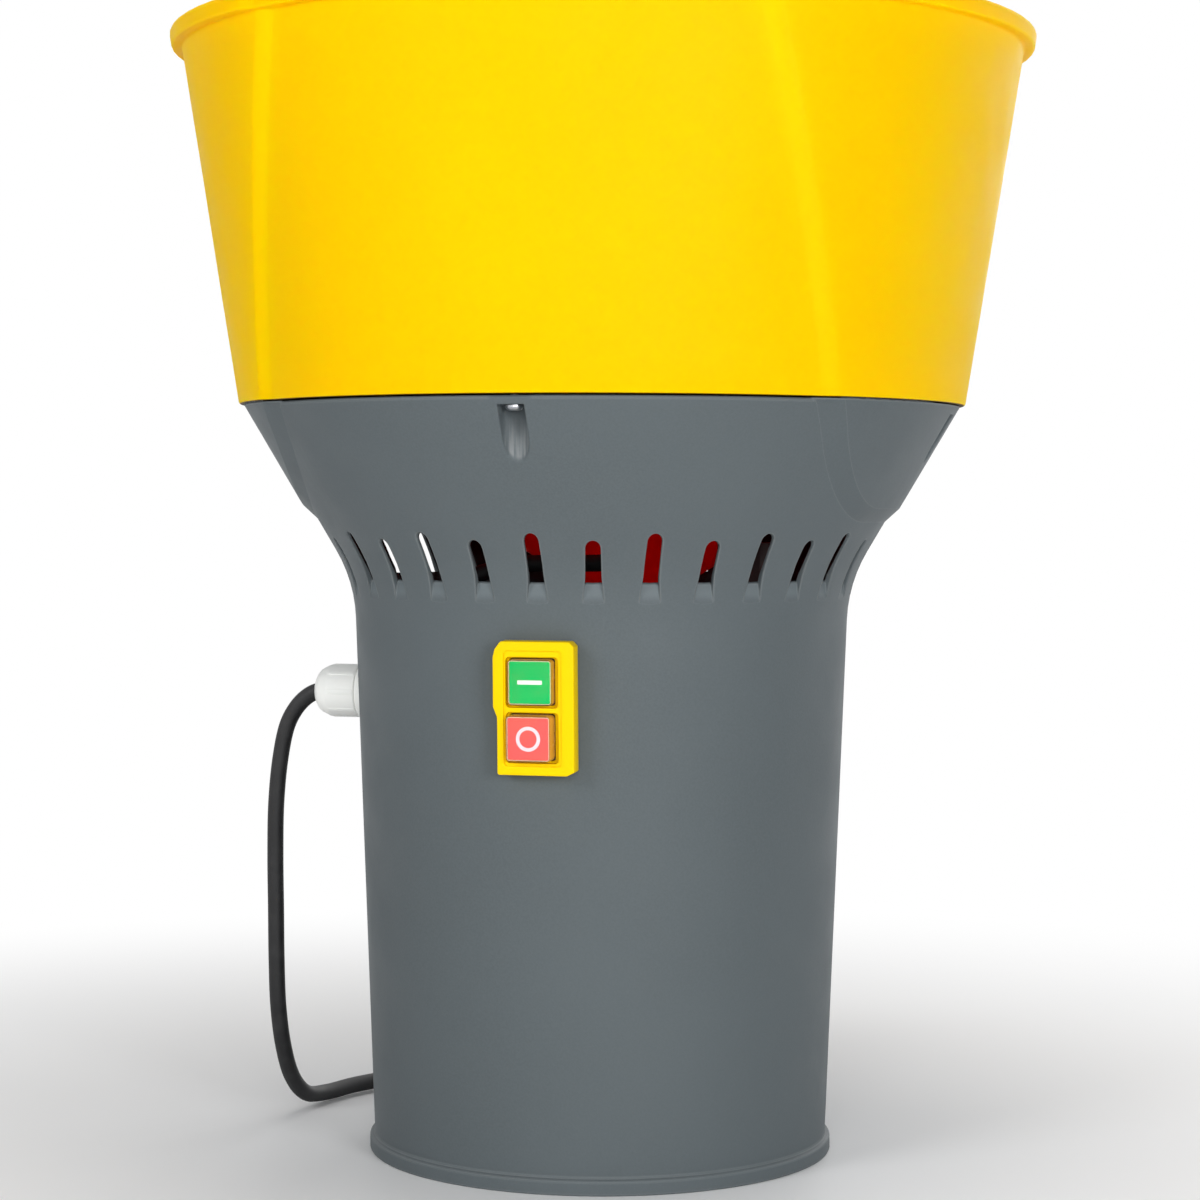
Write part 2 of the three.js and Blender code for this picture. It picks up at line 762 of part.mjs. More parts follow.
function feedFunnel() {
  const foot = gateGuideTop + seatGap;
  const flangeTop = floorHeight - seatGap;
  const flangeFoot = flangeTop - funnelFlangeThick;
  const [innerX, innerY] = [spoutHalfX - ductWall, spoutHalfY - ductWall];
  const inside = funnelTopRadius - ductWall;
  let funnel = skin([
    ovalRing(spoutHalfX, spoutHalfY, spoutY, foot),
    ovalRing(spoutHalfX, spoutHalfY, spoutY, funnelConeFoot),
    ovalRing(funnelTopRadius, funnelTopRadius, 0, funnelConeTop),
    ovalRing(funnelFlangeRadius, funnelFlangeRadius, 0, flangeFoot),
    ovalRing(funnelFlangeRadius, funnelFlangeRadius, 0, flangeTop),
    ovalRing(inside, inside, 0, flangeTop),
    ovalRing(inside, inside, 0, funnelConeTop + ductWall / 2),
    ovalRing(innerX, innerY, spoutY, funnelConeFoot + ductWall / 2),
    ovalRing(innerX, innerY, spoutY, foot),
  ]);
  for (const [x, y] of circlePlaces(fixingCount, funnelScrewCircle, fixingAngle)) {
    const hole = funnelScrewRadius + seatGap;
    funnel = funnel.subtract(rod(hole, flangeFoot - overrun, flangeTop + overrun, holeSides, x, y));
  }
  return funnel;
}

function ovalPrism(halfX, halfY, low, high) {
  return toSolid(extrudeUp(ovalShape(halfX, halfY, spoutY), low, high, ovalSegments));
}

function feedDuct() {
  const low = plateZ + plateThick + seatGap;
  const high = gateGuideBottom - seatGap;
  return cut(
    ovalPrism(spoutHalfX, spoutHalfY, low, high),
    ovalPrism(spoutHalfX - ductWall, spoutHalfY - ductWall, low - overrun, high + overrun),
  );
}

function gateGuide() {
  const wide = gateGuideHalfX;
  const frame = block(-wide, wide, gateGuideFront, gateGuideBack, gateGuideBottom, gateGuideTop);
  const [slotX, slotZ] = [gateHalfX + seatGap, gateThick / 2 + seatGap];
  const track = block(
    -slotX,
    slotX,
    gateFront - seatGap,
    gateGuideBack + overrun,
    gateZ - slotZ,
    gateZ + slotZ,
  );
  const way = ovalPrism(
    spoutHalfX - ductWall,
    spoutHalfY - ductWall,
    gateGuideBottom - overrun,
    gateGuideTop + overrun,
  );
  return cut(frame, track, way);
}

// The gate and its grip are one moulding
function gatePlate() {
  const low = gateZ - gateThick / 2;
  const start = gateBack;
  const shape = new THREE.Shape();
  const [half, tall] = [gateHandleHalfX, gateHandleHeight / 2];
  shape.moveTo(-half, gateZ - tall);
  shape.lineTo(half, gateZ - tall);
  shape.absarc(half - tall / 2, gateZ + tall / 2, tall / 2, 0, Math.PI / 2, false);
  shape.absarc(-half + tall / 2, gateZ + tall / 2, tall / 2, Math.PI / 2, Math.PI, false);
  const grip = toSolid(extrudeForward(shape, -start - gateHandleDepth, -start, 5));
  const blade = block(-gateHalfX, gateHalfX, gateFront, gateBack + gateThick, low, low + gateThick);
  return join(blade, grip);
}

// Crushing chamber
function chamberDrum() {
  const top = plateZ + plateThick;
  const plate = rod(plateRadius, plateZ, top, drumSides);
  const skirt = ring(drumRadius, drumRadius - drumWall, drumFoot, plateZ + plateThick / 2, drumSides);
  let drum = join(plate, skirt);
  drum = cut(
    drum,
    rod(shaftHoleRadius, plateZ - overrun, top + overrun, boreSides),
    ovalPrism(spoutHalfX - ductWall, spoutHalfY - ductWall, plateZ - overrun, top + overrun),
  );
  const holes = [
    [circlePlaces(fixingCount, bossCircle, fixingAngle), plateScrewRadius],
    [circlePlaces(fixingCount, studCircle), studRadius],
    [circlePlaces(fixingCount, motorBoltCircle), motorBoltRadius],
  ];
  for (const [places, radius] of holes)
    for (const [x, y] of places)
      drum = drum.subtract(rod(radius + seatGap, plateZ - overrun, top + overrun, holeSides, x, y));
  return drum;
}

function sieveTop() {
  return drumFoot - seatGap;
}

function sieveDisc() {
  const high = sieveTop();
  let disc = rod(sieveRadius, high - sieveThick, high, drumSides);
  for (let row = 1; row <= sieveRows; row++)
    for (const [x, y] of circlePlaces(row * sieveHolesPerRow, row * sieveRowPitch)) {
      disc = disc.subtract(rod(sieveHoleRadius, high - sieveThick * 2, high + overrun, 6, x, y));
    }
  return disc;
}

function sieveRing() {
  const high = sieveTop() - sieveThick - seatGap;
  let clamp = ring(sieveRingRadius, sieveRingInner, high - sieveRingThick, high, drumSides);
  for (const [x, y] of circlePlaces(fixingCount, studCircle)) {
    clamp = clamp.subtract(rod(studRadius + seatGap, high - overrun * 2, high + overrun, holeSides, x, y));
  }
  return clamp;
}

function boltSolid(headRadius, headHeight, radius, length, headSides) {
  return revolve(
    [
      [0, -headHeight],
      [headRadius, -headHeight],
      [headRadius, 0],
      [radius, 0],
      [radius, length],
      [0, length],
    ],
    headSides,
  );
}

function chamberStud() {
  const head = plateZ + plateThick + seatGap;
  return join(
    rod(studHeadRadius, head, head + studHeadHeight, 6),
    rod(studRadius, studFoot, head + studHeadHeight / 2, boltSides),
  );
}

function wingNut() {
  const high = sieveTop() - sieveThick - sieveRingThick - seatGap * 2;
  const low = high - wingHubHeight;
  const wings = new THREE.Shape();
  const [half, hub] = [wingSpan / 2, wingHubRadius];
  wings.moveTo(-hub, high - wingHubHeight / 4);
  wings.lineTo(hub, high - wingHubHeight / 4);
  wings.lineTo(half, low - (wingHeight - wingHubHeight) / 2);
  wings.absarc(half - wingThick, low - wingHeight / 2, wingThick, 0, -Math.PI / 2, true);
  wings.lineTo(0, low);
  wings.lineTo(-half + wingThick, low - wingHeight / 2 - wingThick);
  wings.absarc(-half + wingThick, low - wingHeight / 2, wingThick, -Math.PI / 2, -Math.PI, true);
  const blade = toSolid(extrudeForward(wings, -wingThick / 2, wingThick / 2, 4));
  const hubSolid = revolve(
    [
      [0, low],
      [hub * wingHubTaperShare, low],
      [hub, high],
      [0, high],
    ],
    boltSides,
  );
  return cut(join(hubSolid, blade), rod(studRadius + seatGap, studFoot - overrun, high + overrun, 10));
}

// Rotor
function hammerBlade(low, angle) {
  const [half, wide] = [bladeReach, bladeWidth / 2];
  const shape = shapeOf([
    [-half + bladeTipBevel, -wide],
    [half, -wide],
    [half, wide - bladeTipBevel],
    [half - bladeTipBevel, wide],
    [-half, wide],
    [-half, -wide + bladeTipBevel],
  ]);
  const blade = toSolid(extrudeUp(shape, low, low + bladeThick).rotateZ(angle));
  return blade.subtract(rod(shaftRadius + seatGap, low - overrun, low + bladeThick + overrun, boreSides));
}

function rotorHeights() {
  const collarFoot = collarTop - collarHeight;
  const upper = collarFoot - seatGap - bladeThick;
  const spacer = upper - seatGap - bladeSpacerHeight;
  const lower = spacer - seatGap - bladeThick;
  const nut = lower - seatGap - nutHeight;
  return { collarFoot, upper, spacer, lower, nut };
}

// Six-sided, with its washer as a flange
function flangeNut(low) {
  const high = low + nutHeight;
  return cut(
    join(rod(nutRadius, low, high, 6), rod(washerRadius, high - washerThick, high, fineSides)),
    rod(shaftRadius + seatGap, low - overrun, high + overrun, boreSides),
  );
}

function collarRing(radius, low, height, sides) {
  return ring(radius, shaftRadius + seatGap, low, low + height, sides);
}

function coolingFan() {
  let fan = rod(fanHubRadius, fanFoot, fanFoot + fanHeight, fineSides);
  for (let i = 0; i < fanBladeCount; i++) {
    const vane = box(
      -fanBladeThick / 2,
      fanBladeThick / 2,
      -fanRadius,
      -fanHubRadius / 2,
      fanFoot,
      fanFoot + fanHeight,
    );
    const turned = vane.rotateZ((i / fanBladeCount) * Math.PI * 2);
    fan = fan.add(toSolid(turned));
  }
  const disc = rod(fanRadius, fanFoot, fanFoot + fanBladeThick, fineSides);
  return cut(join(fan, disc), rod(shaftRadius + seatGap, fanFoot - overrun, shaftTop, boreSides));
}

// Motor case
function statorCase() {
  let shell = rod(statorRadius, statorFoot, statorTop, fineSides);
  for (let i = 0; i < statorRibCount; i++) {
    const [half, inner] = [statorRibWidth / 2, statorRadius - statorRibWidth];
    const rib = box(-half, half, -statorRibRadius, -inner, statorFoot, statorTop);
    shell = shell.add(toSolid(rib.rotateZ(((i + 0.5) / statorRibCount) * Math.PI * 2)));
  }
  return shell.subtract(rod(statorBore, statorFoot - overrun, statorTop + overrun, fineSides));
}

// An end bell: a cup closed at its far end, with the bearing's seat sunk in its inner side
function endBell(low, high, seatLow, seatHigh) {
  return cut(
    rod(bellRadius, low, high, fineSides),
    rod(bearingRadius + seatGap, seatLow, seatHigh, fineSides),
    rod(shaftHoleRadius, low - overrun, high + overrun, boreSides),
  );
}

function bottomBell() {
  const low = plateZ + plateThick + seatGap;
  const high = low + bellFootHeight;
  let bell = endBell(low, high, low + bearingLip, high + overrun);
  for (const [x, y] of circlePlaces(fixingCount, motorBoltCircle)) {
    const depth = motorBoltLength - plateThick + seatGap;
    bell = bell.subtract(rod(motorBoltRadius + seatGap, low - overrun, low + depth, holeSides, x, y));
  }
  return bell;
}

function topBell() {
  const low = statorTop + seatGap;
  const high = low + bellTopHeight;
  return endBell(low, high, low - overrun, high - bearingLip);
}

function bearing(low) {
  return ring(bearingRadius, shaftRadius + seatGap, low, low + bearingHeight, fineSides);
}

function fanCowl() {
  const low = statorTop + seatGap * 2;
  const outside = rod(cowlRadius, low, cowlTop, fineSides);
  const inside = rod(cowlRadius - cowlWall, low - overrun, cowlTop - cowlWall, fineSides);
  let cowl = outside.subtract(inside);
  for (let i = 0; i < cowlSlotCount; i++) {
    const half = cowlSlotWidth / 2;
    const slot = box(-half, half, cowlSlotInner, cowlSlotOuter, cowlTop - overrun, cowlTop + overrun);
    cowl = cowl.subtract(toSolid(slot.rotateZ((i / cowlSlotCount) * Math.PI * 2)));
  }
  return cowl;
}

// Capacitor beside the motor, held by a band on an arm from the case
function capacitor() {
  const can = rod(capacitorRadius, capacitorFoot, capacitorTop, fineSides, capacitorX, capacitorY);
  const terminal = capacitorTop + capacitorStudHeight;
  const half = capacitorRadius / 2;
  const studs = [-half, half].map((shift) =>
    rod(capacitorStudHeight / 2, capacitorTop - overrun, terminal, 8, capacitorX, capacitorY + shift),
  );
  return join(can, ...studs);
}

function capacitorClamp() {
  const inner = capacitorRadius + seatGap;
  const high = clampFoot + clampHeight;
  const distance = Math.hypot(capacitorX, capacitorY);
  const half = clampArmWidth / 2;
  const start = statorRibRadius + seatGap;
  const arm = box(start, distance - capacitorRadius, -half, half, clampFoot, high);
  const band = ring(inner + clampThick, inner, clampFoot, high, fineSides, capacitorX, capacitorY);
  const angle = Math.atan2(capacitorY, capacitorX);
  const hole = rod(inner, clampFoot - overrun, high + overrun, fineSides, capacitorX, capacitorY);
  return join(band, toSolid(arm.rotateZ(angle))).subtract(hole);
}

// Switch: everything here is in the switch's own frame
function wellCentres() {
  return [buttonOffsetZ + buttonPitch / 2, buttonOffsetZ - buttonPitch / 2];
}

function bezelShape() {
  const stepTop = bezelHalfZ * bezelStepTopShare;
  const stepFoot = bezelHalfZ * bezelStepFootShare;
  const [x, z, c] = [bezelHalfX, bezelHalfZ, bezelCorner];
  return shapeOf([
    [-x + bezelStepX + c / 2, -z],
    [x - c, -z],
    [x, -z + c / 2],
    [x, z - c / 2],
    [x - c / 2, z],
    [-x + c, z],
    [-x + c / 4, z - c],
    [-x, z - c * 2],
    [-x, stepTop],
    [-x + bezelStepX, stepFoot],
    [-x + bezelStepX, -z + c / 2],
  ]);
}

function switchBezel() {
  const body = toSolid(extrudeForward(bezelShape(), seatGap, bezelProud));
  const margin = bezelFieldMargin;
  const field = block(
    -bezelHalfX + margin,
    bezelHalfX - margin,
    -bezelProud - overrun,
    -bezelProud + bezelFieldDepth,
    -bezelHalfZ + margin,
    bezelHalfZ - margin,
  );
  let bezel = body.subtract(field);
  const well = buttonSize / 2 + buttonGap;
  const passage = buttonSize / 2 + seatGap;
  for (const z of wellCentres()) {
    const [left, right] = [buttonOffsetX - well, buttonOffsetX + well];
    const open = block(left, right, -bezelProud - overrun, -bezelProud + bezelFloor, z - well, z + well);
    const stem = block(
      buttonOffsetX - passage,
      buttonOffsetX + passage,
      -bezelProud,
      overrun,
      z - passage,
      z + passage,
    );
    bezel = cut(bezel, open, stem);
  }
  return bezel;
}

function switchHousing() {
  const [x, z] = [switchBoxHalfX, switchBoxHalfZ];
  let housing = block(-x, x, 0, switchBoxDepth, -z, z);
  const bore = plungerHalf + seatGap;
  for (const centre of wellCentres()) {
    const pit = block(
      buttonOffsetX - bore,
      buttonOffsetX + bore,
      -overrun,
      buttonTravel + overrun,
      centre - bore,
      centre + bore,
    );
    housing = housing.subtract(pit);
  }
  return housing;
}

function roundedSquare(size, corner) {
  const half = size / 2;
  const shape = new THREE.Shape();
  shape.moveTo(-half + corner, -half);
  shape.lineTo(half - corner, -half);
  shape.absarc(half - corner, -half + corner, corner, -Math.PI / 2, 0, false);
  shape.absarc(half - corner, half - corner, corner, 0, Math.PI / 2, false);
  shape.absarc(-half + corner, half - corner, corner, Math.PI / 2, Math.PI, false);
  shape.absarc(-half + corner, -half + corner, corner, Math.PI, Math.PI * 1.5, false);
  return shape;
}

function switchButton(proud, centre) {
  const face = bezelProud + proud - bootWall - seatGap;
  const size = buttonSize - (bootWall + seatGap) * 2;
  const cap = extrudeForward(roundedSquare(size, bootWall), buttonTravel + seatGap * 2, face, 3);
  const plunger = box(-plungerHalf, plungerHalf, -face + overrun, overrun / 2, -plungerHalf, plungerHalf);
  return join(toSolid(place(cap, buttonOffsetX, 0, centre)), toSolid(place(plunger, buttonOffsetX, 0, centre)));
}

function switchBoot(proud, centre) {
  const face = bezelProud + proud;
  const foot = buttonTravel + seatGap * 2;
  const outside = extrudeForward(roundedSquare(buttonSize, bootWall * 2), foot, face, 3);
  const size = buttonSize - bootWall * 2;
  const inside = extrudeForward(roundedSquare(size, bootWall), foot - overrun, face - bootWall, 3);
  return cut(
    toSolid(place(outside, buttonOffsetX, 0, centre)),
    toSolid(place(inside, buttonOffsetX, 0, centre)),
  );
}

// Cable gland: profiles run outwards from the wall
function glandBody() {
  const wall = cylinderRadius(glandZ);
  const inside = wall - bodyWall - locknutThick - glandFlangeThick;
  const flangeOut = wall + seatGap * 2 + glandFlangeThick;
  const tip = flangeOut + glandBodyLength;
  const profile = [
    [glandBore, inside],
    [glandThreadRadius, inside],
    [glandThreadRadius, wall + seatGap * 2],
    [glandFlangeRadius, wall + seatGap * 2],
    [glandFlangeRadius, flangeOut],
    [glandThreadRadius + glandFlangeThick / 2, flangeOut],
    [glandThreadRadius + glandFlangeThick / 2, tip],
    [glandBore, tip],
  ];
  return toSolid(towardsGland(lathe([...profile, profile[0]], boreSides)));
}

function glandCap() {
  const wall = cylinderRadius(glandZ);
  const start = wall + seatGap * 3 + glandFlangeThick;
  const straight = start + glandCapLength;
  const tip = straight + glandDomeLength;
  const neck = glandThreadRadius + glandFlangeThick / 2 + seatGap;
  const dome = glandDomeShares.map((share) => {
    const angle = share * (Math.PI / 2);
    const r = glandMouthRadius + (glandCapRadius - glandMouthRadius) * Math.cos(angle);
    return [r, straight + glandDomeLength * Math.sin(angle)];
  });
  const profile = [
    [neck, start],
    [glandCapRadius, start],
    [glandCapRadius, straight],
    ...dome,
    [glandMouthRadius, tip],
    [glandBore, tip],
    [glandBore, start + glandBodyLength + seatGap],
    [neck, start + glandBodyLength + seatGap],
  ];
  let cap = toSolid(towardsGland(lathe([...profile, profile[0]], boreSides)));
  for (let i = 0; i < glandRibCount; i++) {
    const outer = glandCapRadius + glandRibRise;
    const rib = box(glandCapRadius - glandRibRise * 2, outer, -glandRibRise, glandRibRise, start, straight);
    cap = cap.add(toSolid(towardsGland(rib.rotateZ((i / glandRibCount) * Math.PI * 2))));
  }
  return cap;
}

function glandLocknut() {
  const high = cylinderRadius(glandZ) - bodyWall - locknutGap;
  const low = high - locknutThick;
  return cut(
    toSolid(towardsGland(cylinder(locknutRadius, low, high, 6))),
    toSolid(towardsGland(cylinder(glandThreadRadius + seatGap, low - overrun, high + overrun, boreSides))),
  );
}

// Mains lead: the free stretch leaves the gland's mouth at a slope, hangs to the surface and
// lies on it as far as the coil
const coilLow = cordRadius + coilLift;
const coilStart = [coilX - coilOuter, coilY, coilLow];
const cordRoute = [
  [-166.8, 0, 244.8],
  [-174, -0.2, 239.2],
  [-179, -0.5, 232.6],
  [-182.6, -0.8, 224.6],
  [-186.2, -1, 207],
  [-188.6, -1, 182],
  [-189.4, 0, 152],
  [-189.3, 1, 122],
  [-189.2, 2, 92],
  [-189, 4.5, 66],
  [-188.6, 12, 42],
  [-187.6, 24, 22.5],
  [-185.4, 42, 9.6],
  [-181, 64, coilLow],
  [-172, 88, coilLow],
  [-158, 112, coilLow],
  [-141, 132, coilLow],
  [-124, 152, coilLow],
  [-109.6, 167, coilLow],
  [coilStart[0], 178, coilLow],
  [coilStart[0], coilY - cordRadius * 2 - seatGap, coilLow],
];

// Middle of the wound lead after the given number of turns, wound clockwise from its left side
function coilPoint(turns) {
  const half = coilTurns / 2;
  const inwards = turns <= half ? turns : coilTurns - turns;
  const radius = coilOuter - coilPitch * inwards;
  const climb = THREE.MathUtils.smoothstep(
    turns,
    half - coilClimbTurns / 2,
    half + coilClimbTurns / 2,
  );
  const angle = Math.PI - turns * Math.PI * 2;
  const x = coilX + radius * Math.cos(angle);
  const y = coilY + radius * Math.sin(angle);
  return new THREE.Vector3(x, y, coilLow + coilPitch * climb);
}

function coilPath() {
  const straight = cordRadius * 2;
  const steps = Math.round(coilTurns * coilSidesPerTurn);
  const wound = Array.from({ length: steps + 1 }, (_, i) => coilPoint((i / steps) * coilTurns));
  const [first, last] = [wound[0], wound[steps]];
  const before = new THREE.Vector3(first.x, first.y - straight, first.z);
  const after = new THREE.Vector3(last.x + straight, last.y, last.z);
  return [before, ...wound, after];
}

// An unbroken tube through given points, its section kept level
function woundTube(points, radius, sides) {
  const up = new THREE.Vector3(0, 0, 1);
  const positions = [];
  points.forEach((point, i) => {
    const ahead = points[Math.min(i + 1, points.length - 1)];
    const behind = points[Math.max(i - 1, 0)];
    const along = ahead.clone().sub(behind).normalize();
    const side = along.clone().cross(up).normalize();
    const rise = side.clone().cross(along);
    for (let k = 0; k < sides; k++) {
      const angle = ((k + 0.5) / sides) * Math.PI * 2;
      const spot = point.clone();
      spot.addScaledVector(side, radius * Math.cos(angle));
      spot.addScaledVector(rise, radius * Math.sin(angle));
      positions.push(spot.x, spot.y, spot.z);
    }
  });
  const index = [];
  for (let i = 0; i + 1 < points.length; i++)
    for (let k = 0; k < sides; k++) {
      const next = (k + 1) % sides;
      const [a, b] = [i * sides + k, i * sides + next];
      index.push(a, a + sides, b, b, a + sides, b + sides);
    }
  const end = (points.length - 1) * sides;
  for (let k = 1; k + 1 < sides; k++) {
    index.push(0, k, k + 1);
    index.push(end, end + k + 1, end + k);
  }
  const geometry = new THREE.BufferGeometry();
  geometry.setAttribute("position", new THREE.Float32BufferAttribute(positions, 3));
  geometry.setIndex(index);
  return toSolid(geometry);
}

// Least gap from any turn of the lead to another, between surfaces
function coilLeastGap(points) {
  let least = Infinity;
  const apart = Math.round(coilSidesPerTurn / 2);
  for (let i = 0; i < points.length; i++)
    for (let j = i + apart; j < points.length; j++) {
      least = Math.min(least, points[i].distanceTo(points[j]) - cordRadius * 2);
    }
  return least;
}

// Tie: a strap round the whole bundle of turns
function cordTie() {
  const angle = Math.PI - coilTurns * tieTurnShare * Math.PI * 2;
  const inner = coilOuter - (coilPitch * coilTurns) / 2 - cordRadius - tieSlack;
  const outer = coilOuter + cordRadius + tieSlack;
  const low = coilLow - cordRadius - seatGap;
  const high = coilLow + coilPitch + cordRadius + tieSlack;
  const [w, t] = [tieWidth / 2, tieThick];
  const outside = box(inner - t, outer + t, -w, w, low - t, high + t);
  const inside = box(inner, outer, -tieWidth, tieWidth, low, high);
  return { strap: toSolid(outside).subtract(toSolid(inside)), angle };
}

// Plug: a flat two-pin body lying beside the coil, its lead entering level
function plugStart() {
  const path = coilPath();
  return path[path.length - 1];
}

function plugBody() {
  const [reach, wide, thick] = [plugLength, plugHalfWidth, plugHalfThick];
  const shape = new THREE.Shape();
  shape.moveTo(0, -plugNoseHalfWidth);
  shape.quadraticCurveTo(plugNoseLength, -wide, plugShoulderLength, -wide);
  shape.lineTo(reach, -wide);
  shape.lineTo(reach, wide);
  shape.lineTo(plugShoulderLength, wide);
  shape.quadraticCurveTo(plugNoseLength, wide, 0, plugNoseHalfWidth);
  const shift = plugReliefLength;
  const body = place(extrudeUp(shape, -thick, thick, 5), shift, 0, 0);
  const relief = lathe(
    [
      [0, 0],
      [plugReliefRadius, 0],
      [plugNoseHalfWidth, shift + overrun],
      [0, shift + overrun],
    ],
    16,
  ).rotateY(Math.PI / 2);
  return join(toSolid(body), toSolid(relief));
}

function plugPin() {
  const tip = plugPinLength - plugPinRadius;
  return toSolid(
    lathe(
      [
        [0, 0],
        [plugPinRadius, 0],
        [plugPinRadius, tip],
        [plugPinRadius / 2, plugPinLength],
        [0, plugPinLength],
      ],
      12,
    ).rotateY(Math.PI / 2),
  );
}

// Lead inside the body, from the switch up and over to the gland
function motorLead() {
  const route = [
    [12, -104, 278.8],
    [12.2, -103.8, 288],
    [20, -98, 300],
    [28, -89, 310],
    [29.5, -79, 317],
    [22, -72, 319.8],
    [10, -68.6, 319.9],
    [-4, -66.8, 319.9],
    [-18, -66, 319.6],
    [-32, -66.4, 318.2],
    [-46, -68, 315.2],
    [-64, -70, 306],
    [-84, -64, 290],
    [-100, -44, 272],
    [-106, -22, 258],
    [-109.5, -8, 249],
    [-113.5, -1, 246.3],
    [-118, 0, 246],
  ];
  return tubeAlong(route, leadRadius, leadSides, leadSteps);
}

addPiece("body_shell", bodyShell(), "greyPlastic");
addPiece("hopper", hopper(), "yellowPlastic");
addPiece("feed_funnel", feedFunnel(), "redPlastic");
addPiece("feed_duct", feedDuct(), "darkSteel");
addPiece("gate_guide", gateGuide(), "blackPlastic");
addPiece("gate_plate", gatePlate(), "blackPlastic");
addPiece("chamber_drum", chamberDrum(), "darkSteel");
addPiece("sieve_disc", sieveDisc(), "steel");
addPiece("sieve_ring", sieveRing(), "darkSteel");

// Fixings that repeat round the axis, each turned upright or upside down
function addFixings(name, places, makeSolid, finish, place3d) {
  places.forEach(([x, y], i) => {
    const mesh = addPiece(`${name}_${i + 1}`, makeSolid(), finish);
    mesh.position.set(x, y, 0);
    place3d(mesh, Math.atan2(y, x));
  });
}

function slottedHead(solid, headHeight) {
  const [half, wide] = [screwSlotWidth / 2, hopperScrewHeadRadius * 2];
  return solid.subtract(block(-wide, wide, -half, half, -headHeight * 2, -headHeight / 2));
}

addFixings(
  "hopper_screw",
  circlePlaces(pocketCount, pocketCircle),
  () =>
    slottedHead(
      boltSolid(hopperScrewHeadRadius, hopperScrewHeadHeight, hopperScrewRadius, hopperScrewLength, 12),
      hopperScrewHeadHeight,
    ),
  "steel",
  (mesh) => (mesh.position.z = seamHeight - flangeThick - seatGap),
);

const funnelScrewLength = hopperFloorThick + funnelFlangeThick + overrun;
addFixings(
  "funnel_screw",
  circlePlaces(fixingCount, funnelScrewCircle, fixingAngle),
  () => boltSolid(funnelScrewHeadRadius, funnelScrewRadius, funnelScrewRadius, funnelScrewLength, 10),
  "steel",
  (mesh) => {
    mesh.position.z = floorHeight + hopperFloorThick + seatGap;
    mesh.rotation.x = Math.PI;
  },
);

addFixings(
  "plate_screw",
  circlePlaces(fixingCount, bossCircle, fixingAngle),
  () =>
    boltSolid(plateScrewHeadRadius, plateScrewHeadHeight, plateScrewRadius, plateScrewLength, 10),
  "steel",
  (mesh) => {
    mesh.position.z = plateZ + plateThick + seatGap;
    mesh.rotation.x = Math.PI;
  },
);

addFixings(
  "motor_bolt",
  circlePlaces(fixingCount, motorBoltCircle),
  () => boltSolid(motorBoltHeadRadius, motorBoltHeadHeight, motorBoltRadius, motorBoltLength, 6),
  "steel",
  (mesh) => (mesh.position.z = plateZ - seatGap),
);

addFixings("chamber_stud", circlePlaces(fixingCount, studCircle), chamberStud, "steel", () => {});

addFixings("wing_nut", circlePlaces(fixingCount, studCircle), wingNut, "steel", (mesh, angle) => {
  mesh.rotation.z = angle + Math.PI / 2;
});

// Rotor, turning as one about the axis
const rotor = new THREE.Group();
crusher.add(rotor);
const heights = rotorHeights();
addPiece("rotor_shaft", rod(shaftRadius, shaftFoot, shaftTop, boreSides), "steel", rotor);
addPiece(
  "rotor_core",
  collarRing(coreRadius, coreFoot, coreTop - coreFoot, fineSides),
  "darkSteel",
  rotor,
);
addPiece("cooling_fan", coolingFan(), "blackPlastic", rotor);
addPiece("blade_hub", collarRing(collarRadius, heights.collarFoot, collarHeight, boreSides), "steel", rotor);
addPiece("upper_blade", hammerBlade(heights.upper, 0), "darkSteel", rotor);
addPiece(
  "blade_spacer",
  collarRing(bladeSpacerRadius, heights.spacer, bladeSpacerHeight, boreSides),
  "steel",
  rotor,
);
addPiece("lower_blade", hammerBlade(heights.lower, Math.PI / 2), "darkSteel", rotor);
addPiece("blade_nut", flangeNut(heights.nut), "steel", rotor);

// Motor
addPiece("stator_case", statorCase(), "castAluminium");
addPiece("bottom_bell", bottomBell(), "castAluminium");
addPiece("top_bell", topBell(), "castAluminium");
addPiece(
  "bottom_bearing",
  bearing(plateZ + plateThick + seatGap * 2 + bearingLip),
  "steel",
);
addPiece(
  "top_bearing",
  bearing(statorTop + bellTopHeight - bearingLip - bearingHeight),
  "steel",
);
addPiece("fan_cowl", fanCowl(), "darkSteel");
addPiece("capacitor", capacitor(), "blackPlastic");
addPiece("capacitor_clamp", capacitorClamp(), "steel");
addPiece("motor_lead", motorLead(), "cordRubber");

// Switch
const [startZ, stopZ] = wellCentres();
addPiece("switch_bezel", switchBezel(), "switchYellow", switchFrame);
addPiece("switch_housing", switchHousing(), "blackPlastic", switchFrame);
addPiece("start_button", switchButton(startProud, startZ), "greenPlastic", switchFrame);
addPiece("start_boot", switchBoot(startProud, startZ), "clearPlastic", switchFrame);
addPiece("stop_button", switchButton(stopProud, stopZ), "buttonRed", switchFrame);
addPiece("stop_boot", switchBoot(stopProud, stopZ), "clearPlastic", switchFrame);

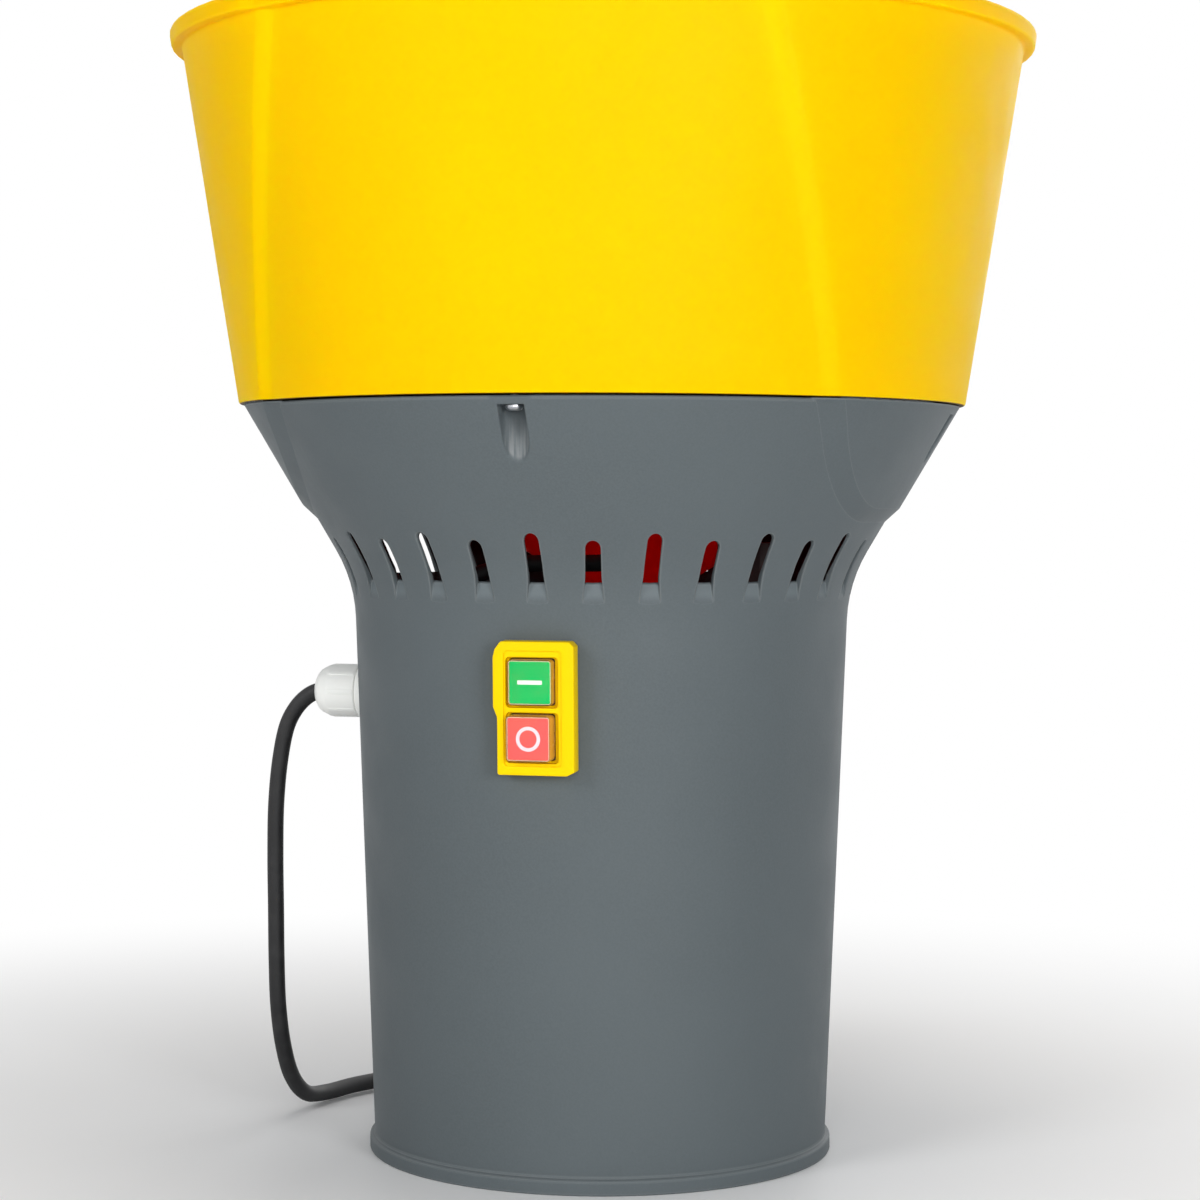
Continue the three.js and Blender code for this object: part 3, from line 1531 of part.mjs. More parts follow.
// Gland and mains lead
addPiece("gland_body", glandBody(), "whitePlastic");
addPiece("gland_cap", glandCap(), "whitePlastic");
addPiece("gland_locknut", glandLocknut(), "whitePlastic");
addPiece("cord_run", tubeAlong(cordRoute, cordRadius, cordSides, cordSteps), "cordRubber");
const wound = coilPath();
addPiece("cord_coil", woundTube(wound, cordRadius, coilSides), "cordRubber");
console.log(`least gap between turns of the lead: ${coilLeastGap(wound).toFixed(2)} mm`);
const tie = cordTie();
const tieMesh = addPiece("cord_tie", tie.strap, "blackPlastic");
tieMesh.position.set(coilX, coilY, 0);
tieMesh.rotation.z = tie.angle;
const plugGroup = new THREE.Group();
const plugSpot = plugStart();
plugGroup.position.set(plugSpot.x + seatGap, plugSpot.y, plugSpot.z);
crusher.add(plugGroup);
addPiece("plug_body", plugBody(), "blackPlastic", plugGroup);
[-plugPinHalfPitch, plugPinHalfPitch].forEach((shift, i) => {
  const pin = addPiece(`plug_pin_${i + 1}`, plugPin(), "steel", plugGroup);
  pin.position.set(plugReliefLength + plugLength + seatGap, shift, 0);
});

export default crusher;
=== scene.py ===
import json
import math

import bpy
from mathutils import Matrix, Vector


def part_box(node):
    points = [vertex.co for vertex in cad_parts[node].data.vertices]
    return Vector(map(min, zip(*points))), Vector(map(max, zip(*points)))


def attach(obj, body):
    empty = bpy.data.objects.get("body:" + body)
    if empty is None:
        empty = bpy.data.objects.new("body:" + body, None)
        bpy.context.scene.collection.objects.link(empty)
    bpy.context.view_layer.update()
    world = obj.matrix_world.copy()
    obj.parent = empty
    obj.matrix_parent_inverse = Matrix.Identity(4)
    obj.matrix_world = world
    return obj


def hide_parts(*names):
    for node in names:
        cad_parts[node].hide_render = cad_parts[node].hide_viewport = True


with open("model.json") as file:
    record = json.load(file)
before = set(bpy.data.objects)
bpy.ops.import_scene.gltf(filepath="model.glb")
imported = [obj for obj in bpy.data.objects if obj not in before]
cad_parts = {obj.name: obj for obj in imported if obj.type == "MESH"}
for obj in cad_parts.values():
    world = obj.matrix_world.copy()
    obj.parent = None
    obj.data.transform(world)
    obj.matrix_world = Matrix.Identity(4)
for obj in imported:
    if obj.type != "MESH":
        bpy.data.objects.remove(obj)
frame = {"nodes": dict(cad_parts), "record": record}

bl_info = {
    "name": "Grain Crusher Builder",
    "version": (1, 0, 0),
    "blender": (4, 5, 0),
    "location": "3D View > Sidebar > Grain Crusher",
    "description": "Builds an upright electric grain crusher on its packed frame",
    "category": "Object",
}

# Body, in metres, with the sizes of the frame's solids
FOOT_RADIUS = 0.1229
DRAFT = math.radians(2.32)
SEAM_HEIGHT = 0.404
SEAM_RADIUS = 0.1916
CONE = math.radians(30.5)
FLARE_RADIUS = 0.080
BODY_WALL = 0.0035
FLANGE_THICK = 0.0045
MOUTH_RADIUS = 0.172
BEAD_HEIGHT = 0.008
BEAD_RISE = 0.003
CONE_SLOPE = math.tan(CONE)
FLARE_HEIGHT = (SEAM_RADIUS - SEAM_HEIGHT * CONE_SLOPE - FOOT_RADIUS) / (math.tan(DRAFT) - CONE_SLOPE)
BODY_SIDES = 180
GAP = 0.0003
OVERRUN = 0.005
TINY = 1e-7
MERGE = 2e-6
HOLE_SIDES = 20
POST_SIDES = 28

# Quarter turns: one stands an outline's second axis upright, one lays an upright piece along X
UPRIGHT = Matrix.Rotation(math.pi / 2, 4, "X")
ALONG_X = Matrix.Rotation(math.pi / 2, 4, "Y")

# Vent slots, the tall and the short ones by turns
SLOT_COUNT = 30
SLOT_HALF = 0.0039
SLOT_TOPS = (0.3363, 0.3327)
SLOT_REACH = 0.26
# How much thinner the wall is round the slots, and between which heights
SLOT_RELIEF = 0.0010
RELIEF_FOOT, RELIEF_FULL = 0.314, 0.320
RELIEF_HEAD, RELIEF_END = 0.340, 0.348
# Height, half width and depth of the channel that each slot leaves below itself
SLOT_CHANNEL = (
    (0.2980, 0.0060, -0.0010),
    (0.3010, 0.0055, -0.0009),
    (0.3040, 0.0051, -0.0007),
    (0.3080, 0.0047, -0.0003),
    (0.3120, 0.0043, 0.0001),
    (0.3150, 0.0041, 0.0003),
)
# Outer edge of a side panel as (half width, height), and its ramp as (way in, share of the rise)
PANEL_TOP = (0.1313, SEAM_HEIGHT)
PANEL_KNEE = (0.1075, SEAM_HEIGHT - 0.026)
PANEL_BEND = (0.0715, SEAM_HEIGHT - 0.0630)
PANEL_FOOT = (0.0360, SEAM_HEIGHT - 0.0630)
PANEL_RAMP = ((0, -0.14), (0.0008, 0), (0.0080, 1), (0.0110, 1))
PANEL_SUNK = 0.0015
PANEL_SPINE = 0.45
POCKET_CIRCLE = SEAM_RADIUS - 0.010
POCKET_RADIUS = 0.0068
POCKET_END = 0.1790
PANEL_POCKET_END = 0.1838
POCKET_WALL = 0.0024
POCKET_FOOT = SEAM_HEIGHT - 0.042
GATE_HEIGHT = FLARE_HEIGHT - 0.0334
PLATE_THICK = 0.003
BOSS_CIRCLE = 0.1155
BOSS_HEIGHT = 0.034

# Hopper
HOPPER_FOOT = SEAM_HEIGHT + GAP * 2
HOPPER_FOOT_RADIUS = SEAM_RADIUS + 0.0028
HOPPER_FLARE = math.radians(9.2)
HOPPER_TOP = SEAM_HEIGHT + 0.202
HOPPER_WALL = 0.0035
FLOOR_THICK = 0.004
FLOOR_UNDER = SEAM_HEIGHT - 0.014
RIM_HEIGHT = 0.009
RIM_LIP = 0.0056
FLOOR_DIP_OUTER = 0.168
FLOOR_DIP_INNER = 0.150
FUNNEL_HOLE = 0.1345
HOPPER_FILLET = 0.012
HOPPER_SCREW_HOLE = 0.0025

# Feed funnel, and the oval spout behind the axis
FUNNEL_SIDE = FUNNEL_HOLE + 0.0025
FUNNEL_FLANGE = 0.149
FUNNEL_CONE = (0.306, 0.384)
FUNNEL_FULLER = 0.0038
FUNNEL_SCREW_CIRCLE = 0.143
FUNNEL_SCREW_HOLE = 0.0023
SPOUT_Y = 0.082
SPOUT_HALF_X = 0.031
SPOUT_HALF_Y = 0.0195
DUCT_WALL = 0.0025

# Switch
SWITCH_HEIGHT = FLARE_HEIGHT - 0.0602
BEZEL_HALF_X = 0.0215
BEZEL_HALF_Z = 0.0338
BEZEL_RIGHT = 0.0207
BEZEL_PROUD = 0.010
BUTTON_SIZE = 0.0234
BUTTON_PITCH = 0.028
BUTTON_SHIFT = -0.0022
BUTTON_DROP = 0.0009
START_PROUD = 0.0006
STOP_PROUD = 0.0044
BOOT_WALL = 0.0007
BUTTON_FOOT = 0.0036
SIGN_SUNK = 0.0004
SIGN_PROUD = 0.00012
# Each button: its body, how far it stands proud, its height in the frame, finish and slot
BUTTONS = (
    ("start", START_PROUD, BUTTON_PITCH / 2 - BUTTON_DROP, "green", "green_plastic"),
    ("stop", STOP_PROUD, -BUTTON_PITCH / 2 - BUTTON_DROP, "stop_red", "button_red"),
)

# Gland and lead
GLAND_HEIGHT = FLARE_HEIGHT - 0.0626
GLAND_THREAD = 0.008
CORD_RADIUS = 0.0046
COIL_CENTRE = (-0.047, 0.194)
COIL_OUTER = 0.058
COIL_PITCH = 0.0099
COIL_TURNS = 4.25
COIL_CLIMB = 0.5
CORD_LOW = CORD_RADIUS + 0.0013
CORD_TAIL = CORD_RADIUS * 2
INNER_CORD_RADIUS = 0.0045

# Slotted screws: node, count, head's radius and height, shank's radius, slot's width, way the head points
SCREWS = (
    ("hopper_screw", 4, 0.0046, 0.0026, 0.0022, 0.0012, -1),
    ("funnel_screw", 3, 0.004, 0.002, 0.002, 0.001, 1),
    ("plate_screw", 3, 0.0046, 0.003, 0.0024, 0.0012, 1),
)

# The free stretch of the lead, from the gland down to the floor and along it to the coil
CORD_ROUTE = (
    (-0.1575, 0, 0.2460), (-0.1625, 0, 0.2457), (-0.1680, 0, 0.2438), (-0.174, -0.0002, 0.2392),
    (-0.179, -0.0005, 0.2326), (-0.1826, -0.0008, 0.2246), (-0.1862, -0.001, 0.207),
    (-0.1886, -0.001, 0.182), (-0.1894, 0, 0.152), (-0.1893, 0.001, 0.122), (-0.1892, 0.002, 0.092),
    (-0.189, 0.0045, 0.066), (-0.1886, 0.012, 0.042), (-0.1876, 0.024, 0.0225), (-0.1854, 0.042, 0.0096),
    (-0.181, 0.064, CORD_LOW), (-0.172, 0.088, CORD_LOW), (-0.158, 0.112, CORD_LOW),
    (-0.141, 0.132, CORD_LOW), (-0.124, 0.152, CORD_LOW), (-0.1096, 0.167, CORD_LOW),
    (COIL_CENTRE[0] - COIL_OUTER, 0.178, CORD_LOW),
    (COIL_CENTRE[0] - COIL_OUTER, COIL_CENTRE[1] - CORD_TAIL - GAP, CORD_LOW),
)

# The lead inside the body, from the switch up and over to the gland
INNER_ROUTE = (
    (0.012, -0.104, 0.2788), (0.0122, -0.1038, 0.288), (0.020, -0.098, 0.300), (0.028, -0.089, 0.310),
    (0.0295, -0.079, 0.317), (0.022, -0.072, 0.3198), (0.010, -0.0686, 0.3199), (-0.004, -0.0668, 0.3199),
    (-0.018, -0.066, 0.3196), (-0.032, -0.0664, 0.3182), (-0.046, -0.068, 0.3152), (-0.064, -0.070, 0.306),
    (-0.084, -0.064, 0.290), (-0.100, -0.044, 0.272), (-0.106, -0.022, 0.258), (-0.1095, -0.008, 0.249),
    (-0.1135, -0.001, 0.2463), (-0.118, 0, 0.246),
)

# Camera
VIEW_AZIMUTH = math.radians(13.7)
VIEW_DISTANCE = 1.592
VIEW_HEIGHT = 0.350
VIEW_ROLL = -0.003
IMAGE_SIZE = 1200
FOCAL_PIXELS = 2894
HORIZON_Y = 506
AXIS_X = 601.8
SENSOR = 36

# Lamps: name, place, size and power, all pointed at the object's middle
LAMPS = (
    ("right_lamp", (1.063, -1.327, 0.5), 0.5, 11.5),
    ("left_lamp", (-0.831, -1.367, 0.9), 0.6, 9.5),
    ("front_lamp", (0.30, -1.45, 0.55), 0.5, 5.5),
    ("rim_lamp", (1.084, 1.036, 0.6), 0.6, 3.0),
    ("top_lamp", (0.0, 0.0, 2.2), 1.0, 14.5),
    ("back_lamp", (0.5, 2.2, 1.2), 1.4, 14),
)
LAMP_AIM = (0, 0, 0.3)
WORLD_LIGHT = 0.15
# The floor turns from grey to plain white between these distances from the axis
FLOOR_FADE = (0.32, 0.95)


# Property groups

class BodySizes(bpy.types.PropertyGroup):
    """Sizes of the grey body that a user would change."""

    panel_rise: bpy.props.FloatProperty(
        name="Panel rise", description="How far the side panels stand proud", default=0.0037, unit="LENGTH"
    )
    slot_count: bpy.props.IntProperty(
        name="Slots", description="Vent slots round the flare", default=SLOT_COUNT, min=6
    )


class HopperSizes(bpy.types.PropertyGroup):
    """Sizes of the yellow hopper that a user would change."""

    panel_rise: bpy.props.FloatProperty(
        name="Panel rise", description="How far the side panels stand proud", default=0.0038, unit="LENGTH"
    )
    panel_foot: bpy.props.FloatProperty(
        name="Panel foot", description="Half width of a side panel at the seam", default=0.127, unit="LENGTH"
    )
    panel_top: bpy.props.FloatProperty(
        name="Panel top", description="Half width of a side panel at the rim", default=0.1895, unit="LENGTH"
    )


class FinishColours(bpy.types.PropertyGroup):
    """Colours of the mouldings."""

    grey: bpy.props.FloatVectorProperty(
        name="Body grey", description="Moulded body", subtype="COLOR", default=(0.094, 0.111, 0.119)
    )
    yellow: bpy.props.FloatVectorProperty(
        name="Hopper yellow", description="Hopper", subtype="COLOR", default=(1.0, 0.525, 0.0)
    )
    red: bpy.props.FloatVectorProperty(
        name="Funnel red", description="Feed funnel", subtype="COLOR", default=(0.62, 0.004, 0.004)
    )
    switch_yellow: bpy.props.FloatVectorProperty(
        name="Switch yellow", description="Switch frame", subtype="COLOR", default=(0.88, 0.60, 0.0)
    )
    green: bpy.props.FloatVectorProperty(
        name="Start green", description="Start button", subtype="COLOR", default=(0.0, 0.47, 0.115)
    )
    stop_red: bpy.props.FloatVectorProperty(
        name="Stop red", description="Stop button", subtype="COLOR", default=(0.78, 0.105, 0.105)
    )


# Selection and mesh helpers

def fresh():
    """Leaves edit mode and deselects everything."""
    if bpy.context.object and bpy.context.object.mode != "OBJECT":
        bpy.ops.object.mode_set(mode="OBJECT")
    bpy.ops.object.select_all(action="DESELECT")


def pick(piece):
    """Makes one piece the active and only selected object."""
    fresh()
    piece.select_set(True)
    bpy.context.view_layer.objects.active = piece
    return piece


def edit(piece):
    """Opens a piece in edit mode with all of it selected."""
    pick(piece)
    bpy.ops.object.mode_set(mode="EDIT")
    bpy.ops.mesh.select_all(action="SELECT")


def named(name):
    """The object that an operator has just made, under its name."""
    piece = bpy.context.object
    piece.name = name
    return piece


def close_up(piece, fill=False):
    """Merges doubles, fills open ends if asked, and points the faces outwards."""
    edit(piece)
    bpy.ops.mesh.remove_doubles(threshold=MERGE)
    if fill:
        bpy.ops.mesh.fill_holes(sides=0)
    bpy.ops.mesh.normals_make_consistent(inside=False)
    bpy.ops.object.mode_set(mode="OBJECT")
    return piece


def share_of(value, low, high):
    """The share of the way from low to high, kept between 0 and 1."""
    return min(max((value - low) / (high - low), 0), 1)


def eased(value, low, high):
    share = share_of(value, low, high)
    return share * share * (3 - 2 * share)


def rounded(corners, closed=True, fine=0.002):
    """Points of an outline whose corners are (a, b, radius), each corner turned into an arc."""
    points = []
    count = len(corners)
    for i, (a, b, radius) in enumerate(corners):
        end = not closed and i in (0, count - 1)
        if radius <= 0 or end:
            points.append((a, b))
            continue
        here = Vector((a, b))
        back = (Vector(corners[i - 1][:2]) - here).normalized()
        ahead = (Vector(corners[(i + 1) % count][:2]) - here).normalized()
        inner = back.angle(ahead)
        turn = math.pi - inner
        reach = radius / math.tan(inner / 2)
        middle = here + (back + ahead).normalized() * radius / math.sin(inner / 2)
        start, finish = here + back * reach - middle, here + ahead * reach - middle
        steps = max(2, min(16, math.ceil(turn * radius / fine), math.ceil(turn / 0.12)) + 1)
        for k in range(steps + 1):
            share = k / steps
            near = math.sin((1 - share) * turn) / math.sin(turn)
            far = math.sin(share * turn) / math.sin(turn)
            points.append(tuple(middle + start * near + finish * far))
    return points


def rectangle(left, right, low, high, corner, fine=0.002):
    """Outline of a rectangle with rounded corners, of one radius or of four."""
    radii = corner if isinstance(corner, tuple) else (corner,) * 4
    ends = ((left, low), (right, low), (right, high), (left, high))
    return rounded([(*end, radius) for end, radius in zip(ends, radii)], fine=fine)


def spots(count, radius, first):
    """Even places (x, y) on a circle, the first so many degrees round from the front."""
    angles = [math.radians(first) + math.tau * i / count for i in range(count)]
    return [(radius * math.sin(a), -radius * math.cos(a)) for a in angles]


def turned(name, outline, sides, closed=True):
    """Turns an outline of (radius, height) points about Z, by extruding and resizing a ring."""
    fresh()
    points = [(max(r, TINY), z) for r, z in outline]
    radius, height = points[0]
    bpy.ops.mesh.primitive_circle_add(vertices=sides, radius=radius, location=(0, 0, height))
    piece = named(name)
    edit(piece)
    for r, z in points[1:] + (points[:1] if closed else []):
        bpy.ops.mesh.extrude_region_move(TRANSFORM_OT_translate={"value": (0, 0, z - height)})
        bpy.ops.transform.resize(value=(r / radius, r / radius, 1), center_override=(0, 0, z))
        radius, height = r, z
    bpy.ops.object.mode_set(mode="OBJECT")
    place(piece)
    return close_up(piece)


def place(piece, matrix=None):
    """Applies an object's place, after moving it by a matrix, so that the object sits at the origin."""
    if matrix is not None:
        piece.matrix_world = matrix @ piece.matrix_world
    pick(piece)
    bpy.ops.object.transform_apply(location=True, rotation=True, scale=True)
    return piece


def skinned(name, rows, fill=False):
    """A grid primitive laid on rows of points; a row that ends where it starts is closed."""
    fresh()
    across, along = len(rows[0]), len(rows)
    bpy.ops.mesh.primitive_grid_add(x_subdivisions=across - 1, y_subdivisions=along - 1, size=1)
    piece = named(name)
    places = [value for row in rows for point in row for value in point]
    piece.data.vertices.foreach_set("co", places)
    piece.data.update()
    return close_up(piece, fill)


def prism(name, outline, low, high, turn=None):
    """A flat outline of (x, y) points, filled and extruded from low to high along Z, then turned."""
    fresh()
    bpy.ops.mesh.primitive_circle_add(vertices=len(outline), radius=1, fill_type="NGON")
    piece = named(name)
    piece.data.vertices.foreach_set("co", [value for x, y in outline for value in (x, y, low)])
    edit(piece)
    bpy.ops.mesh.extrude_region_move(TRANSFORM_OT_translate={"value": (0, 0, high - low)})
    bpy.ops.object.mode_set(mode="OBJECT")
    if turn is not None:
        place(piece, turn)
    return close_up(piece)


def slab(name, low, high):
    """A cube primitive resized to fill two corners."""
    fresh()
    low, high = Vector(low), Vector(high)
    bpy.ops.mesh.primitive_cube_add(size=1, location=(low + high) / 2)
    piece = named(name)
    bpy.ops.transform.resize(value=high - low)
    return place(piece)


def rod(name, radius, low, high, sides, at=(0, 0)):
    """An upright cylinder primitive between two heights."""
    fresh()
    bpy.ops.mesh.primitive_cylinder_add(
        vertices=sides, radius=radius, depth=high - low, location=(at[0], at[1], (low + high) / 2)
    )
    piece = named(name)
    return place(piece)


def soften(piece, width, segments=3, angle=35):
    """Bevels the sharp edges of a piece."""
    pick(piece)
    bevel = piece.modifiers.new("Edges", "BEVEL")
    bevel.width = width
    bevel.segments = segments
    bevel.limit_method = "ANGLE"
    bevel.angle_limit = math.radians(angle)
    bpy.ops.object.modifier_apply(modifier=bevel.name)
    return piece


def combine(piece, tool, operation):
    """Joins, cuts or intersects a piece with a tool, which is used up."""
    pick(piece)
    boolean = piece.modifiers.new("Combine", "BOOLEAN")
    boolean.operation = operation
    boolean.solver = "EXACT"
    boolean.object = tool
    bpy.ops.object.modifier_apply(modifier=boolean.name)
    bpy.data.objects.remove(tool)
    return piece


def cut(piece, tool):
    return combine(piece, tool, "DIFFERENCE")


def fuse(piece, tool):
    return combine(piece, tool, "UNION")


def copy_of(piece, matrix):
    """A copy with its own mesh, moved by a matrix."""
    twin = piece.copy()
    twin.data = piece.data.copy()
    bpy.context.scene.collection.objects.link(twin)
    twin.data.transform(matrix)
    return twin


def joined(pieces):
    """Several pieces as one object."""
    fresh()
    for piece in pieces:
        piece.select_set(True)
    bpy.context.view_layer.objects.active = pieces[0]
    if len(pieces) > 1:
        bpy.ops.object.join()
    return bpy.context.object


def about_axis(angle):
    return Matrix.Rotation(angle, 4, "Z")


def settle(piece, name, material, slot, *nodes, body="housing", angle=32):
    """Names, smooths and paints a finished piece, and puts it on the body that carries it."""
    piece.name = name
    pick(piece)
    bpy.ops.object.shade_smooth_by_angle(angle=math.radians(angle))
    piece.data.materials.clear()
    piece.data.materials.append(material)
    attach(piece, body)
    if nodes:
        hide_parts(*nodes)
    return piece


def paint_node(node, material):
    """Gives a CAD node a finish of its own."""
    slots = frame["nodes"][node].material_slots
    for entry in slots:
        entry.material = material
    if not slots:
        frame["nodes"][node].data.materials.append(material)


def tube_rows(points, radius, sides):
    """Closed rows of points round a path, carried along it without twist."""
    path = [Vector(point) for point in points]
    rows = []
    side = None
    for i, point in enumerate(path):
        along = (path[min(i + 1, len(path) - 1)] - path[max(i - 1, 0)]).normalized()
        if side is None:
            side = along.orthogonal().normalized()
        side = (side - along * side.dot(along)).normalized()
        rise = along.cross(side)
        row = []
        for k in range(sides + 1):
            angle = math.tau * (k % sides) / sides
            row.append(point + side * radius * math.cos(angle) + rise * radius * math.sin(angle))
        rows.append(row)
    return rows


def smooth_path(points, steps):
    """Even points on a centripetal curve through the given points, as the frame's solids use."""
    path = [Vector(point) for point in points]
    path = [path[0] * 2 - path[1], *path, path[-1] * 2 - path[-2]]
    fine = []
    for i in range(1, len(path) - 2):
        a, b, c, d = path[i - 1 : i + 3]
        ta, tb, tc = [max((q - p).length, TINY) ** 0.5 for p, q in ((a, b), (b, c), (c, d))]
        leave = ((b - a) / ta - (c - a) / (ta + tb) + (c - b) / tb) * tb
        arrive = ((c - b) / tb - (d - b) / (tb + tc) + (d - c) / tc) * tb
        for k in range(steps):
            t = k / steps
            square, cube = t * t, t * t * t
            fine.append(
                b * (2 * cube - 3 * square + 1)
                + leave * (cube - 2 * square + t)
                + c * (3 * square - 2 * cube)
                + arrive * (cube - square)
            )
    fine.append(path[-2])
    return fine


# Finishes

class Socket:
    """A shader socket on which sums and products add their Math nodes."""

    def __init__(self, maker, link):
        self.maker = maker
        self.link = link

    def math(self, operation, first, second=None):
        inputs = {0: first} if second is None else {0: first, 1: second}
        return self.maker.node("ShaderNodeMath", {"operation": operation}, inputs)

    def __add__(self, other):
        return self.math("ADD", self, other)

    def __radd__(self, other):
        return self.math("ADD", other, self)

    def __sub__(self, other):
        return self.math("SUBTRACT", self, other)

    def __rsub__(self, other):
        return self.math("SUBTRACT", other, self)

    def __mul__(self, other):
        return self.math("MULTIPLY", self, other)

    def __rmul__(self, other):
        return self.math("MULTIPLY", other, self)

    def __pow__(self, other):
        return self.math("POWER", self, other)

    def over(self, low, high):
        """The share of the way from low to high, kept between 0 and 1 and eased."""
        settings = {"interpolation_type": "SMOOTHSTEP"}
        ends = {"Value": self, "From Min": low, "From Max": high}
        return self.maker.node("ShaderNodeMapRange", settings, ends)


class Maker:
    """Builds one material's nodes."""

    def __init__(self, name, **constants):
        self.material = bpy.data.materials.new(name)
        self.material.use_nodes = True
        self.tree = self.material.node_tree
        self.shader = self.tree.nodes["Principled BSDF"]
        self.output = self.tree.nodes["Material Output"]
        for key, value in constants.items():
            self.feed(self.shader, key.replace("_", " ").title().replace("Ior", "IOR"), value)

    def feed(self, node, key, value):
        socket = node.inputs[key]
        if isinstance(value, Socket):
            self.tree.links.new(value.link, socket)
        elif hasattr(socket.default_value, "__len__") and len(value) == 3 and len(socket.default_value) == 4:
            socket.default_value = (*value, 1)
        else:
            socket.default_value = value

    def node(self, kind, settings, inputs, output=0):
        """Adds a node of any type, with its settings first, then its sockets' values or links."""
        made = self.tree.nodes.new(kind)
        for key, value in settings.items():
            setattr(made, key, value)
        for key, value in inputs.items():
            self.feed(made, key, value)
        return Socket(self, made.outputs[output])

    def place(self):
        """Object coordinates."""
        return self.node("ShaderNodeTexCoord", {}, {}, "Object")

    def axis(self, key):
        """One of the object coordinates."""
        return self.node("ShaderNodeSeparateXYZ", {}, {"Vector": self.place()}, key)

    def stretched(self, scale):
        return self.node("ShaderNodeMapping", {}, {"Vector": self.place(), "Scale": scale})

    def noise(self, scale, detail=3, vector=None):
        inputs = {"Vector": vector or self.place(), "Scale": scale, "Detail": detail}
        return self.node("ShaderNodeTexNoise", {}, inputs)

    def mix(self, share, first, second):
        """A colour between two colours."""
        inputs = {"Factor": share, 6: first, 7: second}
        return self.node("ShaderNodeMix", {"data_type": "RGBA"}, inputs, 2)

    def bump(self, height, distance, normal=None):
        inputs = {"Height": height, "Distance": distance}
        if normal is not None:
            inputs["Normal"] = normal
        return self.node("ShaderNodeBump", {}, inputs)

    def edges(self, radius):
        """The rounded normal near edges, and how far it turns from the surface's own."""
        turned_normal = self.node("ShaderNodeBevel", {"samples": 8}, {"Radius": radius})
        own = self.node("ShaderNodeNewGeometry", {}, {}, "Normal")
        product = {"operation": "DOT_PRODUCT"}
        dot = self.node("ShaderNodeVectorMath", product, {0: turned_normal, 1: own}, "Value")
        return turned_normal, 1 - dot

    def set(self, key, value):
        self.feed(self.shader, key, value)


def shade(colour, share):
    return tuple(channel * share for channel in colour)


def moulding(name, colour, rough, grain, cell, gloss, blotch, glow=0.0, foot=None):
    """Moulded plastic: fine tool grain, a slow drift of tone and a few rubbed, shinier patches.
    Grain is how deep the tool marks are and cell how fine, blotch how much the tone drifts, and glow how far
    light soaks through a thin wall, as it does in a bright moulding. Below the foot's height lies a painted
    shade, nearly black."""
    maker = Maker(name, roughness=rough, specular_ior_level=gloss)
    if glow:
        maker.set("Subsurface Weight", 0.8)
        maker.set("Subsurface Radius", (1.0, 0.55, 0.2))
        maker.set("Subsurface Scale", glow)
    drift = maker.noise(9, 4)
    rubbed = maker.noise(38, 5)
    tone = maker.mix(drift.over(0.3, 0.7), shade(colour, 1 - blotch), shade(colour, 1 + blotch))
    if foot is not None:
        # Painted shade: nearly black below the foot's height, for the shadowed gap at the seam under the
        # moulding
        tone = maker.mix(maker.axis("Z").over(foot, foot + 0.0006), shade(colour, 0.03), tone)
    maker.set("Base Color", tone)
    maker.set("Roughness", rough - 0.06 + rubbed.over(0.35, 0.7) * 0.1)
    maker.set("Normal", maker.bump(maker.noise(cell, 2), grain))
    return maker.material


def grey_moulding(colour):
    """The body's matt grey: fine grain and a scuffed front pocket, with painted light: painted highlights
    along the edges and in the flutes, and painted shade inside the wall, tinged by a painted red reflection of
    the funnel.
    """
    maker = Maker("grey_moulding", specular_ior_level=0.14)
    drift = maker.noise(7, 4)
    fine = maker.noise(900, 3)
    tone = maker.mix(drift.over(0.3, 0.7), shade(colour, 0.95), shade(colour, 1.05))
    tone = maker.mix(fine.over(0.25, 0.75) * 0.6, tone, shade(colour, 1.12))
    x, y, z = (maker.axis(key) for key in "XYZ")
    out = (x * x + y * y) ** 0.5
    depth = SEAM_RADIUS - (SEAM_HEIGHT - z) * CONE_SLOPE - out
    streaks = maker.noise(1, 5, maker.stretched((700, 700, 30)))
    channel = depth.over(0.0004, 0.002) * (1 - depth.over(0.014, 0.018)) * (1 - y.over(-0.17, -0.16))
    pocket = channel * (1 - x.math("ABSOLUTE", x).over(0.005, 0.0078)) * (1 - z.over(0.376, 0.398))
    tone = maker.mix(pocket * streaks.over(0.3, 0.8) * 0.5, tone, (0.36, 0.37, 0.37))
    # Painted highlight: the grey is paled along edges, where the rounded normal turns from the surface's own,
    # except round the front pocket
    rounded_normal, turn = maker.edges(0.0014)
    near = (1 - x.math("ABSOLUTE", x).over(0.009, 0.012)) * z.over(0.352, 0.356) * (1 - y.over(-0.16, -0.15))
    tone = maker.mix(turn.over(0.0006, 0.010) * (1 - near) * 0.17, tone, (0.33, 0.35, 0.35))
    # Painted highlight: the floor of each flute under a slot is paled, where it faces up into the light
    floor = out - FOOT_RADIUS - z * math.tan(DRAFT) + (z - 0.301) * 0.0857 - 0.0009
    flute_highlight = (1 - floor.over(0.0001, 0.0004)) * z.over(0.3012, 0.306) * (1 - z.over(0.3148, 0.3158))
    tone = maker.mix(flute_highlight * 0.5, tone, shade(colour, 1.7))
    # Painted shade: the inside of the wall round the slots is made nearly black, tinged with a painted red
    # reflection of the funnel
    flare = z.over(0.300, 0.308) * (1 - z.over(0.350, 0.358))
    inside = depth.over(0.0016, 0.0026) * flare
    maker.set("Base Color", maker.mix(inside, tone, (0.022, 0.007, 0.006)))
    maker.set("Roughness", 0.48 + maker.noise(26, 5).over(0.3, 0.7) * 0.1)
    maker.set("Normal", maker.bump(fine, 0.00006, rounded_normal))
    return maker.material


